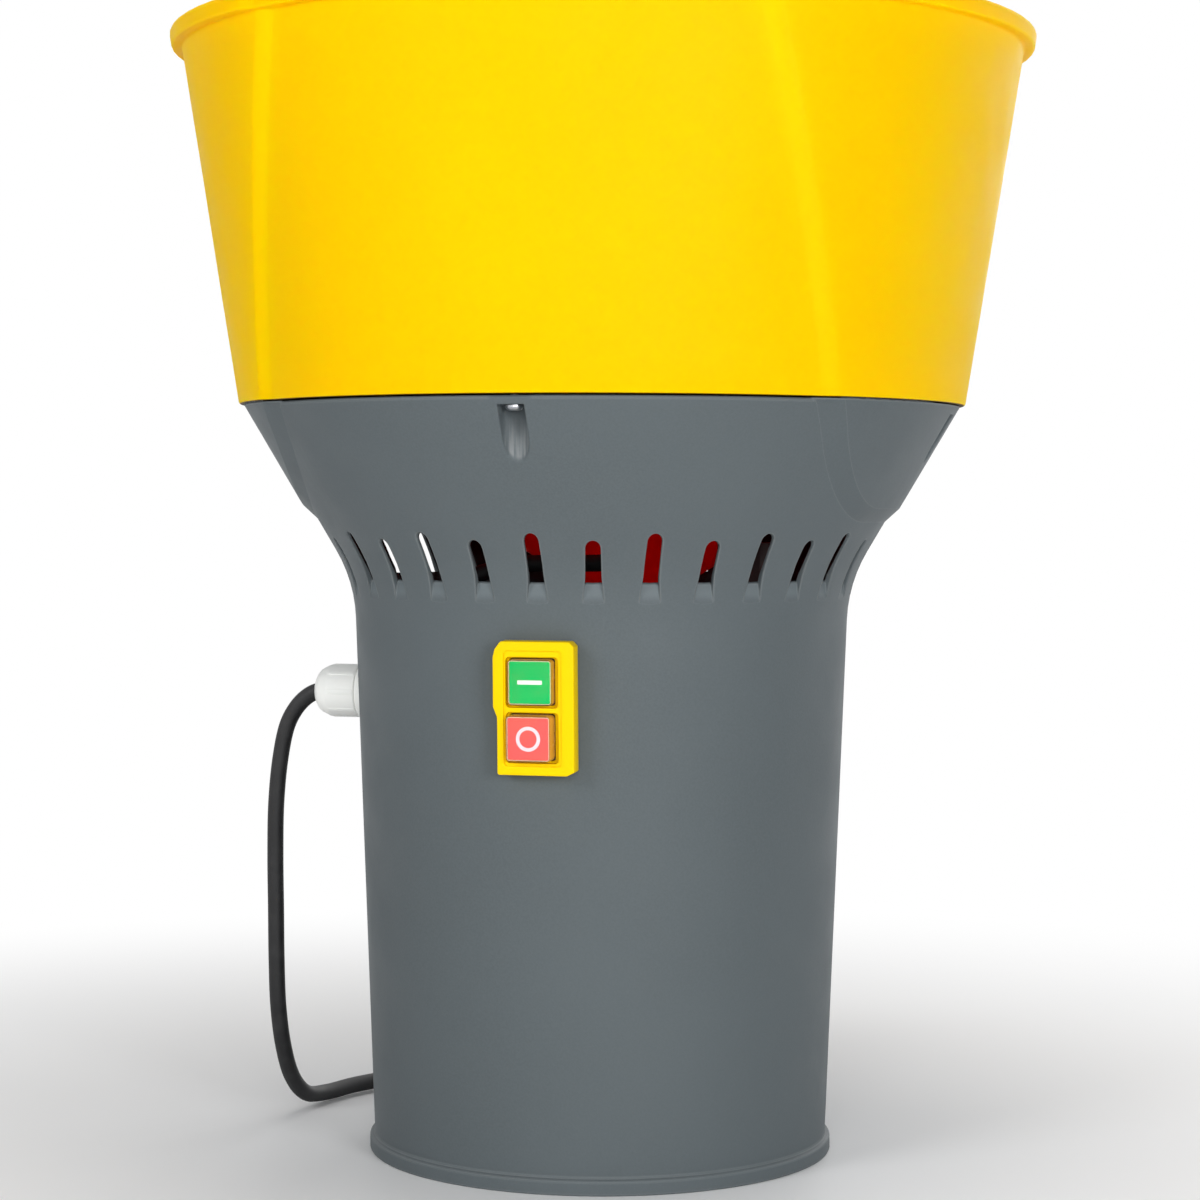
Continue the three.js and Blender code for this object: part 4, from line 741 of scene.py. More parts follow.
def metal(name, colour, rough, streak=(400, 400, 12)):
    """Bare metal with drawn streaks and small changes of tone."""
    maker = Maker(name, metallic=1.0)
    streaks = maker.noise(1, 4, maker.stretched(streak))
    maker.set("Base Color", maker.mix(streaks.over(0.25, 0.75), shade(colour, 0.8), shade(colour, 1.12)))
    maker.set("Roughness", rough + maker.noise(60, 4).over(0.3, 0.75) * 0.16)
    maker.set("Normal", maker.bump(streaks, 0.00001))
    return maker.material


def cast_metal(name, colour):
    """Cast aluminium with an even, pebbled skin."""
    maker = Maker(name, metallic=1.0)
    pebble = maker.noise(700, 4)
    maker.set("Base Color", maker.mix(pebble.over(0.3, 0.7), shade(colour, 0.75), colour))
    maker.set("Roughness", 0.42 + pebble * 0.25)
    maker.set("Normal", maker.bump(pebble, 0.0001))
    return maker.material


def lead_rubber():
    """The lead's matt black sheath."""
    maker = Maker("lead_rubber", specular_ior_level=0.4)
    scuff = maker.noise(120, 5)
    maker.set("Base Color", maker.mix(scuff.over(0.35, 0.8), (0.008, 0.008, 0.009), (0.02, 0.02, 0.021)))
    maker.set("Roughness", 0.5 + scuff * 0.2)
    maker.set("Normal", maker.bump(maker.noise(1500, 2), 0.00003))
    return maker.material


def boot_clear():
    """The buttons' soft clear boots: milky edges, and sides painted amber, a painted reflection of the yellow
    frame round them.
    """
    maker = Maker("boot_clear", specular_ior_level=0.3)
    normal = maker.node("ShaderNodeTexCoord", {}, {}, "Normal")
    front = maker.node("ShaderNodeSeparateXYZ", {}, {"Vector": normal}, "Y")
    # The sides, found by their object normal, show the amber base: a painted reflection of the yellow frame
    # round them
    side = 1 - front.math("ABSOLUTE", front).over(0.25, 0.7)
    rim = maker.edges(0.0012)[1].over(0.01, 0.12)
    maker.set("Base Color", maker.mix(rim, (1.0, 0.6, 0.08), (1.0, 0.95, 0.72)))
    cloud = maker.noise(90, 3).over(0.3, 0.8)
    maker.set("Alpha", 0.006 + cloud * 0.02 + side * 0.55 + rim * (1 - side) * 0.6)
    maker.set("Roughness", 0.2 + cloud * 0.1)
    return maker.material


def print_white(name, colour):
    """The white of a sign, tinged by the button under it."""
    maker = Maker(name, roughness=0.45)
    maker.set("Base Color", maker.mix(maker.noise(300, 3).over(0.3, 0.8), colour, shade(colour, 0.88)))
    return maker.material


def floor_finish():
    """Pale floor that keeps a shadow near the object and fades to white away from it."""
    maker = Maker("floor_finish", roughness=0.6, base_color=(0.86, 0.86, 0.86))
    spot = maker.node("ShaderNodeVectorMath", {"operation": "LENGTH"}, {0: maker.place()}, "Value")
    path = maker.tree.nodes.new("ShaderNodeLightPath")
    seen = Socket(maker, path.outputs["Is Camera Ray"]) + Socket(maker, path.outputs["Is Glossy Ray"])
    white = maker.node("ShaderNodeEmission", {}, {"Color": (1, 1, 1), "Strength": 1.0})
    share = spot.over(*FLOOR_FADE) * seen.math("MINIMUM", seen, 1.0)
    blend = maker.tree.nodes.new("ShaderNodeMixShader")
    maker.feed(blend, 0, share)
    maker.tree.links.new(maker.shader.outputs[0], blend.inputs[1])
    maker.tree.links.new(white.link, blend.inputs[2])
    maker.tree.links.new(blend.outputs[0], maker.output.inputs["Surface"])
    return maker.material


FINISHES = {}


def finish(name):
    """The named material, made the first time that it is asked for."""
    if name not in FINISHES:
        colours = bpy.context.scene.crusher_colours
        makers = {
            "grey": lambda: grey_moulding(tuple(colours.grey)),
            "yellow": lambda: moulding(
                "yellow_moulding", tuple(colours.yellow), 0.5, 0.00001, 1400, 0.02, 0.015, 0.012, HOPPER_FOOT
            ),
            "red": lambda: moulding("red_moulding", tuple(colours.red), 0.4, 0.00001, 1400, 0.15, 0.08, 0.012),
            "switch_yellow": lambda: moulding(
                "switch_yellow", tuple(colours.switch_yellow), 0.45, 0.000006, 2200, 0.08, 0.02
            ),
            "green": lambda: moulding("start_green", tuple(colours.green), 0.45, 0.000004, 2200, 0.08, 0.06),
            "stop_red": lambda: moulding("stop_red", tuple(colours.stop_red), 0.45, 0.000004, 2200, 0.1, 0.05),
            "black": lambda: moulding("black_moulding", (0.014, 0.014, 0.016), 0.5, 0.00003, 1800, 0.4, 0.15),
            "white": lambda: moulding("white_moulding", (0.95, 0.96, 0.93), 0.42, 0.00001, 1600, 0.2, 0.015),
            # The capacitor's dark brown, tinted red as a painted reflection of the red funnel inside the body
            "phenolic_red_reflection": lambda: moulding(
                "capacitor_phenolic_red_reflection", (0.05, 0.012, 0.010), 0.45, 0.00002, 1800, 0.3, 0.1
            ),
            "rubber": lead_rubber,
            "boot": boot_clear,
            "start_print": lambda: print_white("start_print", (0.82, 0.95, 0.84)),
            "stop_print": lambda: print_white("stop_print", (0.98, 0.68, 0.74)),
            "steel": lambda: metal("zinc_steel", (0.55, 0.57, 0.6), 0.26),
            "dark_steel": lambda: metal("dark_steel", (0.12, 0.125, 0.13), 0.4),
            "blade_steel": lambda: metal("blade_steel", (0.3, 0.31, 0.33), 0.3, (12, 400, 400)),
            "sieve_steel": lambda: metal("sieve_steel", (0.6, 0.61, 0.63), 0.3, (300, 300, 300)),
            "cast": lambda: cast_metal("cast_aluminium", (0.55, 0.57, 0.6)),
            "floor": floor_finish,
        }
        FINISHES[name] = makers[name]()
    return FINISHES[name]


# Operators

class CRUSHER_OT_stage(bpy.types.Operator):
    """Camera at the photograph's viewing angle, pale floor, soft lamps and world"""

    bl_idname = "crusher.stage"
    bl_label = "Stage"

    def execute(self, context):
        fresh()
        outwards = Vector((math.sin(VIEW_AZIMUTH), -math.cos(VIEW_AZIMUTH), 0))
        bpy.ops.object.camera_add(
            location=outwards * VIEW_DISTANCE + Vector((0, 0, VIEW_HEIGHT)),
            rotation=(math.pi / 2, VIEW_ROLL, VIEW_AZIMUTH),
        )
        camera = named("camera")
        camera.data.sensor_width = SENSOR
        camera.data.sensor_fit = "HORIZONTAL"
        camera.data.lens = FOCAL_PIXELS / IMAGE_SIZE * SENSOR
        camera.data.shift_y = (HORIZON_Y - IMAGE_SIZE / 2) / IMAGE_SIZE
        camera.data.shift_x = (IMAGE_SIZE / 2 - AXIS_X) / IMAGE_SIZE
        camera.data.clip_end = 30
        context.scene.camera = camera
        fresh()
        bpy.ops.mesh.primitive_circle_add(vertices=96, radius=9, fill_type="NGON", location=(0, 0, 0))
        floor = named("floor")
        floor.data.materials.append(finish("floor"))
        for lamp in LAMPS:
            self.lamp(*lamp)
        self.world(context)
        context.scene.view_settings.view_transform = "Standard"
        return {"FINISHED"}

    def lamp(self, name, spot, size, power):
        """A square lamp that points at the object's middle."""
        fresh()
        turn = (Vector(LAMP_AIM) - Vector(spot)).to_track_quat("-Z", "Y").to_euler()
        bpy.ops.object.light_add(type="AREA", location=spot, rotation=turn)
        lamp = named(name)
        lamp.data.shape = "SQUARE"
        lamp.data.size = size
        lamp.data.energy = power

    def world(self, context):
        """Dim bluish light all round, and plain white where the camera or a gloss sees it."""
        world = bpy.data.worlds.new("studio")
        world.use_nodes = True
        context.scene.world = world
        tree = world.node_tree
        light = tree.nodes["Background"]
        light.inputs["Color"].default_value = (0.93, 0.96, 1.0, 1)
        light.inputs["Strength"].default_value = WORLD_LIGHT
        shown = tree.nodes.new("ShaderNodeBackground")
        shown.inputs["Color"].default_value = (1, 1, 1, 1)
        path = tree.nodes.new("ShaderNodeLightPath")
        seen = path.outputs["Is Camera Ray"]
        for ray in ("Is Glossy Ray", "Is Transmission Ray"):
            either = tree.nodes.new("ShaderNodeMath")
            either.operation = "MAXIMUM"
            tree.links.new(seen, either.inputs[0])
            tree.links.new(path.outputs[ray], either.inputs[1])
            seen = either.outputs[0]
        blend = tree.nodes.new("ShaderNodeMixShader")
        tree.links.new(seen, blend.inputs[0])
        tree.links.new(light.outputs[0], blend.inputs[1])
        tree.links.new(shown.outputs[0], blend.inputs[2])
        tree.links.new(blend.outputs[0], tree.nodes["World Output"].inputs["Surface"])


def coil_point(turns):
    """Middle of the wound lead after the given number of turns."""
    half = COIL_TURNS / 2
    inwards = turns if turns <= half else COIL_TURNS - turns
    radius = COIL_OUTER - COIL_PITCH * inwards
    climb = eased(turns, half - COIL_CLIMB / 2, half + COIL_CLIMB / 2)
    angle = math.pi - turns * math.tau
    spot = Vector((radius * math.cos(angle), radius * math.sin(angle), CORD_LOW + COIL_PITCH * climb))
    return spot + Vector((*COIL_CENTRE, 0))


def lead_path():
    """The whole route of the free lead, from the gland to the plug."""
    run = smooth_path(CORD_ROUTE, 8)
    steps = 204
    coil = [coil_point(COIL_TURNS * i / steps) for i in range(steps + 1)]
    before = coil[0] - Vector((0, CORD_TAIL, 0))
    after = coil[-1] + Vector((CORD_TAIL, 0, 0))
    return [*run, before, *coil, after]


def path_length(points):
    return sum((b - a).length for a, b in zip(points, points[1:]))


class CRUSHER_OT_lead(bpy.types.Operator):
    """Mains lead with its coil, the tie round the coil, and the plug with its pins"""

    bl_idname = "crusher.lead"
    bl_label = "Mains lead"

    def execute(self, context):
        path = lead_path()
        lead = skinned("lead", tube_rows(path, CORD_RADIUS, 20), fill=True)
        settle(lead, "lead", finish("rubber"), "cord_rubber", "cord_run", "cord_coil")
        tie = self.tie()
        plug = self.plug(path[-1] + Vector((GAP, 0, 0)))
        pins = [self.pin(i) for i in (1, 2)]
        path_length(path)
        return {"FINISHED"}

    def tie(self):
        """A strap round the bundle, with rounded corners."""
        angle = math.pi - COIL_TURNS / 2 * math.tau
        slack, thick, half = 0.0008, 0.0009, 0.007
        inner = COIL_OUTER - COIL_PITCH * COIL_TURNS / 2 - CORD_RADIUS - slack
        outer = COIL_OUTER + CORD_RADIUS + slack
        low = CORD_LOW - CORD_RADIUS - GAP
        high = CORD_LOW + COIL_PITCH + CORD_RADIUS + slack
        around, within = (0.002, 0.002, 0.004, 0.004), (0.0012, 0.0012, 0.0032, 0.0032)
        outside = rectangle(inner - thick, outer + thick, low - thick, high + thick, around)
        inside = rectangle(inner, outer, low, high, within)
        turn = Matrix.Translation((*COIL_CENTRE, 0)) @ about_axis(angle) @ UPRIGHT
        strap = prism("tie_strap", outside, -half, half, turn)
        cut(strap, prism("tie_hollow", inside, -half * 2, half * 2, turn))
        soften(strap, 0.0002, 2)
        return settle(strap, "cable_tie", finish("black"), "black_plastic", "cord_tie")

    def plug(self, start):
        """Flat two-pin plug with a ribbed strain relief, drawn in at its waist."""
        relief, reach, thick = 0.024, 0.042, 0.0154
        wide, nose, neck = 0.017, 0.009, 0.0055
        sides, grooves = 40, 5
        rows = []
        for x, half_y, half_z, power in (
            (0.0, neck * 0.94, neck * 0.94, 2.0),
            (0.0005, neck, neck, 2.0),
            (relief * 0.94, nose * 0.86, nose * 0.86, 2.0),
            (relief, nose, nose * 1.05, 2.3),
            (relief + 0.006, nose * 1.3, thick * 0.86, 3.2),
            (relief + 0.013, wide * 0.9, thick * 0.97, 4.0),
            (relief + 0.020, wide, thick, 4.6),
            (relief + 0.028, wide * 0.965, thick * 0.96, 4.6),
            (relief + reach - 0.0015, wide * 0.99, thick * 0.985, 5.0),
            (relief + reach - 0.0004, wide * 0.975, thick * 0.97, 5.0),
            (relief + reach, wide * 0.94, thick * 0.93, 5.0),
        ):
            row = []
            for k in range(sides + 1):
                angle = math.tau * (k % sides) / sides
                c, s = math.cos(angle), math.sin(angle)
                reach_out = (abs(c) ** power + abs(s) ** power) ** (-1 / power)
                row.append(start + Vector((x, half_y * c * reach_out, half_z * s * reach_out)))
            rows.append(row)
        body = skinned("plug", rows, fill=True)
        for i in range(grooves):
            x = 0.0035 + i * 0.004
            radius = neck + (nose - neck) * x / relief
            deep, clear, narrow, wider = radius - 0.0008, radius + 0.002, 0.0006, 0.0009
            outline = [(clear, -wider), (deep, -narrow), (deep, narrow), (clear, wider)]
            ring = turned("relief_groove", outline, POST_SIDES)
            place(ring, Matrix.Translation(start + Vector((x, 0, 0))) @ ALONG_X)
            cut(body, ring)
        return settle(body, "plug", finish("black"), "black_plastic", "plug_body")

    def pin(self, number):
        low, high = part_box(f"plug_pin_{number}")
        radius = (high.y - low.y) / 2
        middle = (low + high) / 2
        length = high.x - low.x
        outline = rounded(
            [(0, 0, 0), (radius, 0, 0), (radius, length, radius * 0.7), (0, length, 0)],
            closed=False,
            fine=0.0005,
        )
        pin = turned("pin", outline, POST_SIDES, closed=False)
        turn = Matrix.Translation((low.x, middle.y, middle.z)) @ ALONG_X
        place(pin, turn)
        return settle(pin, f"plug_pin_steel_{number}", finish("steel"), "steel", f"plug_pin_{number}")


def drafted(z):
    """Outside radius of the body's cylinder."""
    return FOOT_RADIUS + z * math.tan(DRAFT)


def cone_radius(z):
    """Outside radius of the body's cone."""
    return SEAM_RADIUS - (SEAM_HEIGHT - z) * CONE_SLOPE


def bend(start, middle, end, steps):
    """Points of a quadratic curve, without its first."""
    a, b, c = Vector(start), Vector(middle), Vector(end)
    return [
        tuple(a * (1 - t) ** 2 + b * 2 * t * (1 - t) + c * t * t)
        for t in (k / steps for k in range(1, steps + 1))
    ]


class CRUSHER_OT_body(bpy.types.Operator):
    """Grey moulded body with its vent slots, proud side panels and screw pockets"""

    bl_idname = "crusher.body"
    bl_label = "Body moulding"

    def execute(self, context):
        sizes = context.scene.crusher_body
        shell = turned("shell", self.section(), BODY_SIDES)
        fuse(shell, self.panels(sizes))
        liner = POCKET_RADIUS + POCKET_WALL
        liners = self.around(4, lambda i: self.pocket(i, liner, POCKET_FOOT, SEAM_HEIGHT - 0.001))
        low, high, skin = 0.3, SEAM_HEIGHT - 0.0005, 0.001
        core = [(cone_radius(low) - skin, low), (SEAM_RADIUS - 0.0005, high), (0, high), (0, low)]
        combine(liners, turned("core", core, BODY_SIDES), "INTERSECT")
        fuse(shell, liners)
        under = SEAM_HEIGHT - FLANGE_THICK
        cut(shell, self.around(4, lambda i: self.pocket(i, POCKET_RADIUS, POCKET_FOOT - OVERRUN, under)))
        cut(shell, self.around(sizes.slot_count, self.slot))
        hole = (HOPPER_SCREW_HOLE, SEAM_HEIGHT - 0.02, SEAM_HEIGHT + 0.01, HOLE_SIDES, (0, -POCKET_CIRCLE))
        cut(shell, self.around(4, lambda i: rod("hole", *hole)))
        self.openings(shell)
        self.bosses(shell)
        settle(shell, "body_moulding", finish("grey"), "grey_plastic", "body_shell", angle=8)
        return {"FINISHED"}

    def section(self):
        """Closed section of the wall."""
        under = SEAM_HEIGHT - FLANGE_THICK
        neck = (cone_radius(under) - BODY_WALL, under)
        corners = [
            (FOOT_RADIUS + BEAD_RISE, 0, 0.0008),
            (FOOT_RADIUS + BEAD_RISE, BEAD_HEIGHT, 0.0014),
            (drafted(BEAD_HEIGHT), BEAD_HEIGHT, 0.0012),
            (drafted(FLARE_HEIGHT), FLARE_HEIGHT, FLARE_RADIUS),
            (SEAM_RADIUS, SEAM_HEIGHT, 0.0012),
            (MOUTH_RADIUS, SEAM_HEIGHT, 0.0006),
            (MOUTH_RADIUS, under, 0),
            (*neck, 0),
            *[(cone_radius(z) - BODY_WALL, z, 0) for z in (0.350, 0.346, 0.342, 0.338, 0.332)],
            (drafted(FLARE_HEIGHT) - BODY_WALL, FLARE_HEIGHT, FLARE_RADIUS),
            (FOOT_RADIUS - BODY_WALL, 0, 0.0006),
        ]
        points = rounded(corners)
        first = points.index(neck)
        return points[:first] + [(r + self.relief(z), z) for r, z in points[first:]]

    def relief(self, z):
        """How much thinner the wall is at a height, round the slots."""
        foot, head = share_of(z, RELIEF_FOOT, RELIEF_FULL), share_of(z, RELIEF_END, RELIEF_HEAD)
        return SLOT_RELIEF * foot * head

    def panels(self, sizes):
        """Two proud panels on the cone, each with a ramp along its edge."""
        return joined([self.panel(sizes, side) for side in (1, -1)])

    def panel(self, sizes, side):
        """One panel, skinned over outlines that lie one inside the other."""
        half = [PANEL_TOP]
        half += [tuple(Vector(PANEL_TOP).lerp(Vector(PANEL_KNEE), k / 6)) for k in range(1, 7)]
        half += bend(PANEL_KNEE, PANEL_BEND, PANEL_FOOT, 16)
        half += [(PANEL_FOOT[0] * (1 - k / 4), PANEL_FOOT[1]) for k in range(1, 5)]
        outline = half + [(-y, z) for y, z in half[-2::-1]]
        rows = []
        for i, (y, z) in enumerate(outline):
            here = Vector((y, z))
            if i in (0, len(outline) - 1):
                inwards = Vector((-1 if y > 0 else 1, 0))
            else:
                along = Vector(outline[i + 1]) - Vector(outline[i - 1])
                inwards = Vector((along.y, -along.x)).normalized()
            spine = Vector((0, SEAM_HEIGHT - (SEAM_HEIGHT - z) * PANEL_SPINE))
            back = [(here.lerp(spine, 1 - k / 8), -PANEL_SUNK) for k in range(9)]
            ramp = [(here + inwards * way, share * sizes.panel_rise) for way, share in PANEL_RAMP]
            last = ramp[-1][0]
            face = [(last.lerp(spine, k / 12), sizes.panel_rise) for k in range(1, 13)]
            rows.append([self.on_cone(spot, rise, side) for spot, rise in back + ramp + face])
        return skinned("panel", rows, fill=True)

    def on_cone(self, spot, rise, side):
        """The point of the cone, or of a cone round it, at a place (y, z)."""
        radius = cone_radius(spot.y) + rise
        return (side * math.sqrt(radius * radius - spot.x * spot.x), spot.x, spot.y)

    def pocket(self, number, radius, low, high):
        """A channel with a half-round inner end, open outwards; in a panel it lies as much further out."""
        inner = PANEL_POCKET_END if number % 2 else POCKET_END
        end = POCKET_CIRCLE + 0.04
        outline = [(-radius, -end), (radius, -end)]
        for k in range(13):
            angle = math.pi * k / 12
            outline.append((radius * math.cos(angle), -inner + radius * math.sin(angle)))
        return prism("pocket", outline, low, high)

    def slot(self, number):
        """One slot's channel, drawn straight out along the cylinder's drafted side."""
        top = SLOT_TOPS[number % 2]
        levels = list(SLOT_CHANNEL)
        depth = SLOT_CHANNEL[-1][2]
        for k in range(7):
            angle = math.pi / 2 * k / 6.3  # stops short of the point where both sides would meet
            levels.append((top - SLOT_HALF + SLOT_HALF * math.sin(angle), SLOT_HALF * math.cos(angle), depth))
        rows = []
        for z, half, deep in levels:
            near, far = -(drafted(z) - deep), -SLOT_REACH
            ring = [(-half, near, z), (half, near, z), (half, far, z), (-half, far, z)]
            rows.append([*ring, ring[0]])
        return skinned("slot", rows, fill=True)

    def around(self, count, make):
        """Copies of an even and an odd model by turns round the axis, joined into one tool."""
        models = [make(0), make(1)]
        tools = [copy_of(models[i % 2], about_axis(i / count * math.tau)) for i in range(count)]
        for model in models:
            bpy.data.objects.remove(model)
        return joined(tools)

    def openings(self, shell):
        """Holes behind the switch and at the gland, and the slot that the gate slides through."""
        box = slab("switch_hole", (-0.0173, -OVERRUN, -0.0293), (0.0173, 0.0085, 0.0293))
        cut(shell, place(box, switch_matrix()))
        bore = rod("gland_hole", GLAND_THREAD + GAP, 0.09, 0.14, POST_SIDES)
        cut(shell, place(bore, gland_matrix()))
        half, thick = 0.0343, 0.0013
        near, far = 0.103, 0.163
        cut(shell, slab("gate_hole", (-half, near, GATE_HEIGHT - thick), (half, far, GATE_HEIGHT + thick)))

    def bosses(self, shell):
        """Posts inside the foot that the chamber plate is screwed to."""
        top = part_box("chamber_drum")[1].z - PLATE_THICK - GAP
        for spot in spots(3, BOSS_CIRCLE, 60):
            fuse(shell, rod("post", 0.006, top - BOSS_HEIGHT, top, POST_SIDES, spot))
            cut(shell, rod("bore", 0.0027, top - 0.02, top + 0.01, HOLE_SIDES, spot))


class CRUSHER_OT_hopper(bpy.types.Operator):
    """Yellow hopper with its soft-edged side panels, rim and sunk floor ring"""

    bl_idname = "crusher.hopper"
    bl_label = "Hopper"

    def execute(self, context):
        sizes = context.scene.crusher_hopper
        rows = [self.row(r, z, sizes) for r, z in self.section()]
        rows.append(rows[0])
        shell = skinned("hopper", rows)
        top = HOPPER_FOOT + 0.012
        for spot in spots(4, POCKET_CIRCLE, 0):
            fuse(shell, soften(rod("boss", 0.007, HOPPER_FOOT + 0.001, top, 32, spot), 0.0008))
            cut(shell, rod("hole", HOPPER_SCREW_HOLE, HOPPER_FOOT - 0.01, top - 0.002, HOLE_SIDES, spot))
        low, high = FLOOR_UNDER - 0.01, FLOOR_UNDER + 0.02
        for spot in spots(3, FUNNEL_SCREW_CIRCLE, 60):
            cut(shell, rod("hole", FUNNEL_SCREW_HOLE, low, high, HOLE_SIDES, spot))
        settle(shell, "hopper_moulding", finish("yellow"), "yellow_plastic", "hopper", angle=30)
        return {"FINISHED"}

    def section(self):
        """Closed section of wall, rim and floor."""
        slope = math.tan(HOPPER_FLARE)

        def wall(z, inset=0.0):
            return HOPPER_FOOT_RADIUS + (z - HOPPER_FOOT) * slope - inset

        def level(low, share):
            return low + (lip - low) * share / steps

        lip = HOPPER_TOP - RIM_HEIGHT
        floor_top, under_top = HOPPER_FOOT + FLOOR_THICK, FLOOR_UNDER + FLOOR_THICK
        steps = 12
        outer = [(wall(z), z, 0) for z in (level(HOPPER_FOOT, k) for k in range(1, steps))]
        inner = [(wall(z, HOPPER_WALL), z, 0) for z in (level(floor_top, k) for k in range(steps, 0, -1))]
        corners = [
            (wall(HOPPER_FOOT), HOPPER_FOOT, 0.0016),
            *outer,
            (wall(lip), lip, 0.0015),
            (wall(lip) + RIM_LIP, lip, 0.0015),
            (wall(HOPPER_TOP) + RIM_LIP, HOPPER_TOP, 0.0028),
            (wall(HOPPER_TOP, HOPPER_WALL), HOPPER_TOP, 0.0022),
            *inner,
            (wall(floor_top, HOPPER_WALL), floor_top, 0.004),
            (FLOOR_DIP_OUTER + 0.0036, floor_top, 0.004),
            (FLOOR_DIP_INNER, under_top, 0.004),
            (FUNNEL_HOLE, under_top, 0.0012),
            (FUNNEL_HOLE, FLOOR_UNDER, 0.0006),
            (FLOOR_DIP_INNER, FLOOR_UNDER, 0.002),
            (FLOOR_DIP_OUTER, HOPPER_FOOT, 0.002),
        ]
        return rounded(corners)

    def row(self, radius, z, sizes):
        """One closed row round the hopper, swollen where the side panels are."""
        share = (z - HOPPER_FOOT) / (HOPPER_TOP - HOPPER_FOOT)
        half = sizes.panel_foot + (sizes.panel_top - sizes.panel_foot) * max(share, 0)
        rise = sizes.panel_rise * eased(radius, MOUTH_RADIUS, MOUTH_RADIUS + 0.016)
        crease = math.acos(min(half / radius, 0.999))
        reach = HOPPER_FILLET / 2 / radius
        flat, fold = 13, 8
        quarter = [(crease - reach) * k / flat for k in range(flat)]
        quarter += [crease - reach + reach * 2 * k / fold for k in range(fold)]
        quarter += [crease + reach + (math.pi / 2 - crease - reach) * k / flat for k in range(flat)]
        back = [math.pi / 2, *quarter[:0:-1]]
        angles = quarter + [math.pi - a for a in back]
        angles += [math.pi + a for a in quarter] + [math.tau - a for a in back]
        points = []
        for angle in [*angles, 0.0]:
            from_front = math.asin(min(abs(math.sin(angle)), 1))
            r = radius + rise * eased(from_front, crease - reach, crease + reach)
            points.append((r * math.sin(angle), -r * math.cos(angle), z))
        return points


class CRUSHER_OT_funnel(bpy.types.Operator):
    """Red feed funnel that leads from the hopper's floor to the oval spout"""

    bl_idname = "crusher.funnel"
    bl_label = "Feed funnel"

    def execute(self, context):
        foot, top = (corner.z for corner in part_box("feed_funnel"))
        cone_foot, cone_top = FUNNEL_CONE
        side, flange, wall, edge, steps = FUNNEL_SIDE, FUNNEL_FLANGE, DUCT_WALL, 0.0004, 8
        rows = [self.spout(0, foot), self.spout(0, cone_foot - 0.004)]
        rows += [self.between(k / steps, 0) for k in range(steps + 1)]
        rows += [
            self.oval(radius, radius, 0, z)
            for radius, z in (
                (side, cone_top + 0.001),
                (side + 0.0008, top - 0.0038),
                (flange - edge, top - 0.0033),
                (flange, top - 0.0028),
                (flange, top - edge),
                (flange - edge, top),
                (side - wall + 0.0005, top),
                (side - wall, top - 0.0008),
            )
        ]
        rows += [self.between(k / steps, wall) for k in range(steps, -1, -1)]
        rows += [self.spout(wall, cone_foot - 0.003), self.spout(wall, foot)]
        rows.append(rows[0])
        funnel = skinned("funnel", rows)
        for spot in spots(3, FUNNEL_SCREW_CIRCLE, 60):
            cut(funnel, rod("hole", FUNNEL_SCREW_HOLE, top - 0.01, top + 0.01, HOLE_SIDES, spot))
        settle(funnel, "feed_funnel_moulding", finish("red"), "red_plastic", "feed_funnel", angle=30)
        return {"FINISHED"}

    def oval(self, half_x, half_y, y, z):
        sides = 96
        angles = [math.tau * (k % sides) / sides for k in range(sides + 1)]
        return [(half_x * math.cos(a), y + half_y * math.sin(a), z) for a in angles]

    def spout(self, inset, z):
        return self.oval(SPOUT_HALF_X - inset, SPOUT_HALF_Y - inset, SPOUT_Y, z)

    def between(self, share, inset):
        """A row part of the way up the slanted cone, which is a little fuller near its foot."""
        foot, top = FUNNEL_CONE
        fuller = FUNNEL_FULLER * math.sin(math.pi * share ** 0.3)
        half_x = SPOUT_HALF_X + (FUNNEL_SIDE - SPOUT_HALF_X) * share + fuller - inset
        half_y = SPOUT_HALF_Y + (FUNNEL_SIDE - SPOUT_HALF_Y) * share - inset
        return self.oval(half_x, half_y, SPOUT_Y * (1 - share), foot + (top - foot) * share + inset / 2)


def switch_matrix():
    """The switch's own frame: X across, Y into the body, Z up the leaning wall."""
    return Matrix.Translation((0, -drafted(SWITCH_HEIGHT), SWITCH_HEIGHT)) @ Matrix.Rotation(DRAFT, 4, "X")


def facing(x=0.0, z=0.0):
    """Lays an outline on the switch, so that its extrusion runs towards the front."""
    return switch_matrix() @ Matrix.Translation((x, 0, z)) @ UPRIGHT


def cap_face(proud):
    """How far a cap's face stands out of the wall."""
    return BEZEL_PROUD + proud - BOOT_WALL - GAP


